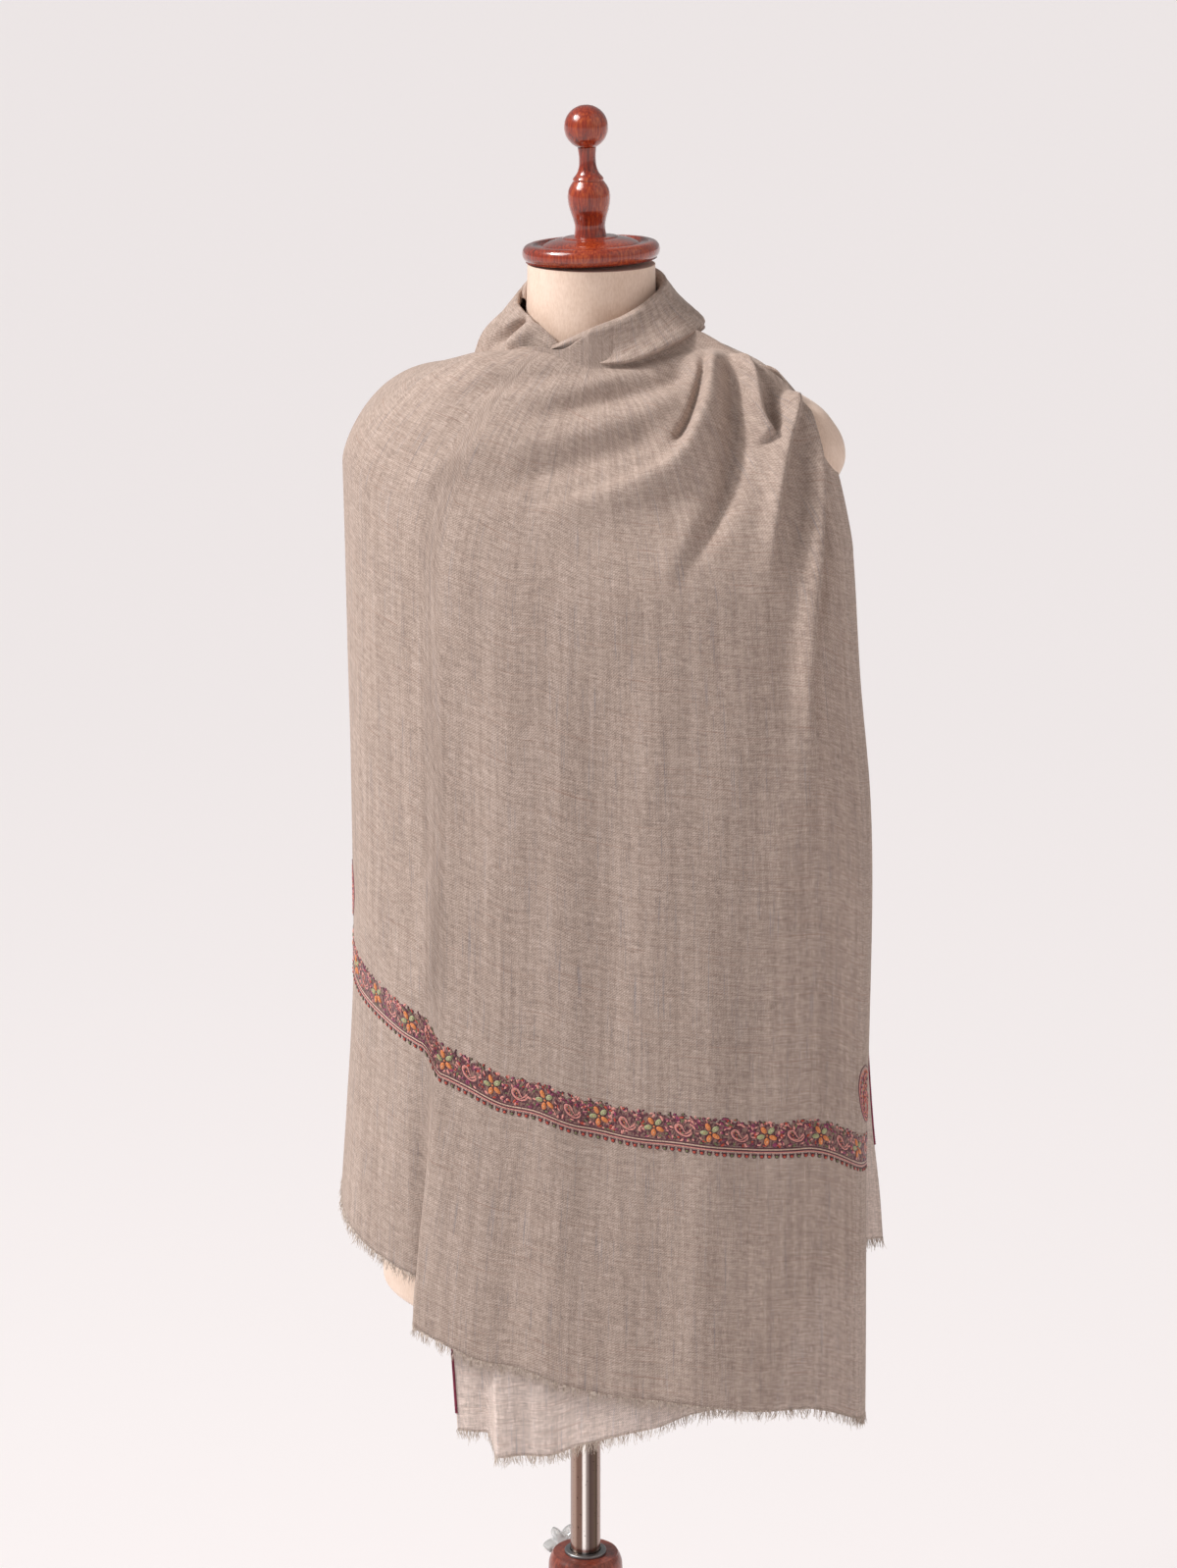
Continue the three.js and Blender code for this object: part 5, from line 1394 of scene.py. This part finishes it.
def fringe(name, edge, below, per_mm, seed, *nodes):
    """Loose yarns along an edge. Each starts 1.5 mm up in the cloth and falls along the cloth's
    own slope; its sideways and outward drift grows as the square of the way down. below is the
    grid row above the edge, which gives that slope."""
    chance = np.random.default_rng(seed)
    run = edge_run(edge)
    count = int(run[-1] * per_mm)
    clumps = np.cumsum(chance.exponential(1, count))
    at = clumps / clumps[-1] * run[-1] * 0.998
    root = at_run(at, run, edge)
    slope = at_run(at, run, unit(edge - below))
    sideways = at_run(at, run, unit(np.gradient(edge, axis=0)))
    outward = np.cross(slope, sideways)
    length = chance.uniform(3.5, 8, count) + 4 * chance.random(count) ** 5
    gather = 1.6 * np.sin(at / 5.3) + 1.2 * np.sin(at / 2.1 + 1)
    drift = gather + chance.normal(0, 1.5, count)
    lift_off = chance.normal(0.6, 1.1, count)
    t = np.linspace(0, 1, YARN_RINGS)[None, :, None]
    path = (root[:, None] + slope[:, None] * (-1.5 + (length[:, None, None] + 1.5) * t)
            + sideways[:, None] * drift[:, None, None] * t ** 2
            + outward[:, None] * lift_off[:, None, None] * t ** 2)
    curl = chance.normal(0, 0.5, (count, 1, 1)) * np.sin(np.pi * 2 * t)
    path = path + sideways[:, None] * curl
    thick = (0.26 * (1 - 0.55 * t)) * chance.uniform(0.75, 1.3, (count, 1, 1))
    corners = [
        path + sideways[:, None] * thick, path - sideways[:, None] * 0.5 * thick
        + outward[:, None] * 0.87 * thick, path - sideways[:, None] * 0.5 * thick
        - outward[:, None] * 0.87 * thick]
    points = np.stack(corners, 2)
    faces = grid_faces(YARN_RINGS, YARN_SIDES, wrap_columns=True)
    first_points = np.arange(count)[:, None, None] * YARN_RINGS * YARN_SIDES
    all_faces = (faces[None] + first_points).reshape(-1, 4)
    piece = mesh_piece(name, to_object(points.reshape(-1, 3)), all_faces, fringe_yarn)
    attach(piece, "dressed_form")
    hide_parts(*nodes)
    return piece


outer_fringe = fringe(
    "fringe_outer", outer[-1], outer[-3], 2.0, 5, "fringe_outer_front", "fringe_outer_side")
inner_fringe = fringe("fringe_inner", inner[-1], inner[-3], 2.2, 6, "fringe_inner_front")
return_fringe = fringe("fringe_return", returned[-1], returned[-3], 2.2, 7, "fringe_return")

# ------------------------------------------------------------------ shawl: overcast edging
# The selvedges are whipped over with crimson silk, in close slanting stitches 2 mm apart.
crimson_silk, crimson_shader = new_material("crimson_overcast_silk", Roughness=0.6)
place = add_node(crimson_silk, "ShaderNodeTexCoord").outputs["Object"]
whip = add_node(
    crimson_silk, "ShaderNodeTexNoise", {"Vector": place}, {"Scale": 620.0, "Detail": 2.0})
whip_ramp = add_node(
    crimson_silk, "ShaderNodeValToRGB", {"Fac": whip.outputs["Fac"]},
    stops=((0.38, "#5c1029"), (0.62, "#93284a")))
EDGING_SIDES = 8
join(crimson_silk, whip_ramp.outputs["Color"], crimson_shader.inputs["Base Color"])


def overcast(name, edge, node, width=1.15):
    """A whipped edge: a round cord along the selvedge whose radius swells at every stitch, the
    swelling running slantwise round it."""
    run = edge_run(edge)
    at = np.arange(0, run[-1], 0.5)
    path = at_run(at, run, edge)
    step = unit(np.gradient(path, axis=0))
    first = unit(np.cross(step, [0.31, 0.9, 0.3]))
    second = np.cross(step, first)
    around = np.linspace(0, 2 * np.pi, EDGING_SIDES, endpoint=False)[None, :, None]
    swell = np.sin(at[:, None, None] * np.pi + around)
    radius = width * (1 + 0.22 * swell)
    points = path[:, None] + radius * (
        first[:, None] * np.cos(around) + second[:, None] * np.sin(around))
    ends = [end[:, None].repeat(EDGING_SIDES, 1) for end in (path[:1], path[-1:])]
    points = np.concatenate([ends[0], points, ends[1]])
    piece = mesh_piece(
        name, to_object(points), grid_faces(len(points), EDGING_SIDES, wrap_columns=True),
        crimson_silk)
    tidy_mesh(piece)
    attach(piece, "dressed_form")
    if node:
        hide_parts(node)
    return piece


outer_edging = overcast(
    "edging_outer", outer[hang_row + 4:over_neck + len(zones) - 2, 0], "edging_outer_side")
inner_edging = overcast("edging_inner", inner[6:96, 0], "edging_inner_front")
return_edging = overcast("edging_return", returned[4:100, -1], "edging_return")
shoulder_edging = overcast("edging_shoulder", outer[0, 2:16] + [0, 0, 0.4], None, 0.9)
back_edging = overcast("edging_middle", back[-1] + [0, 0, -0.6], "edging_back")
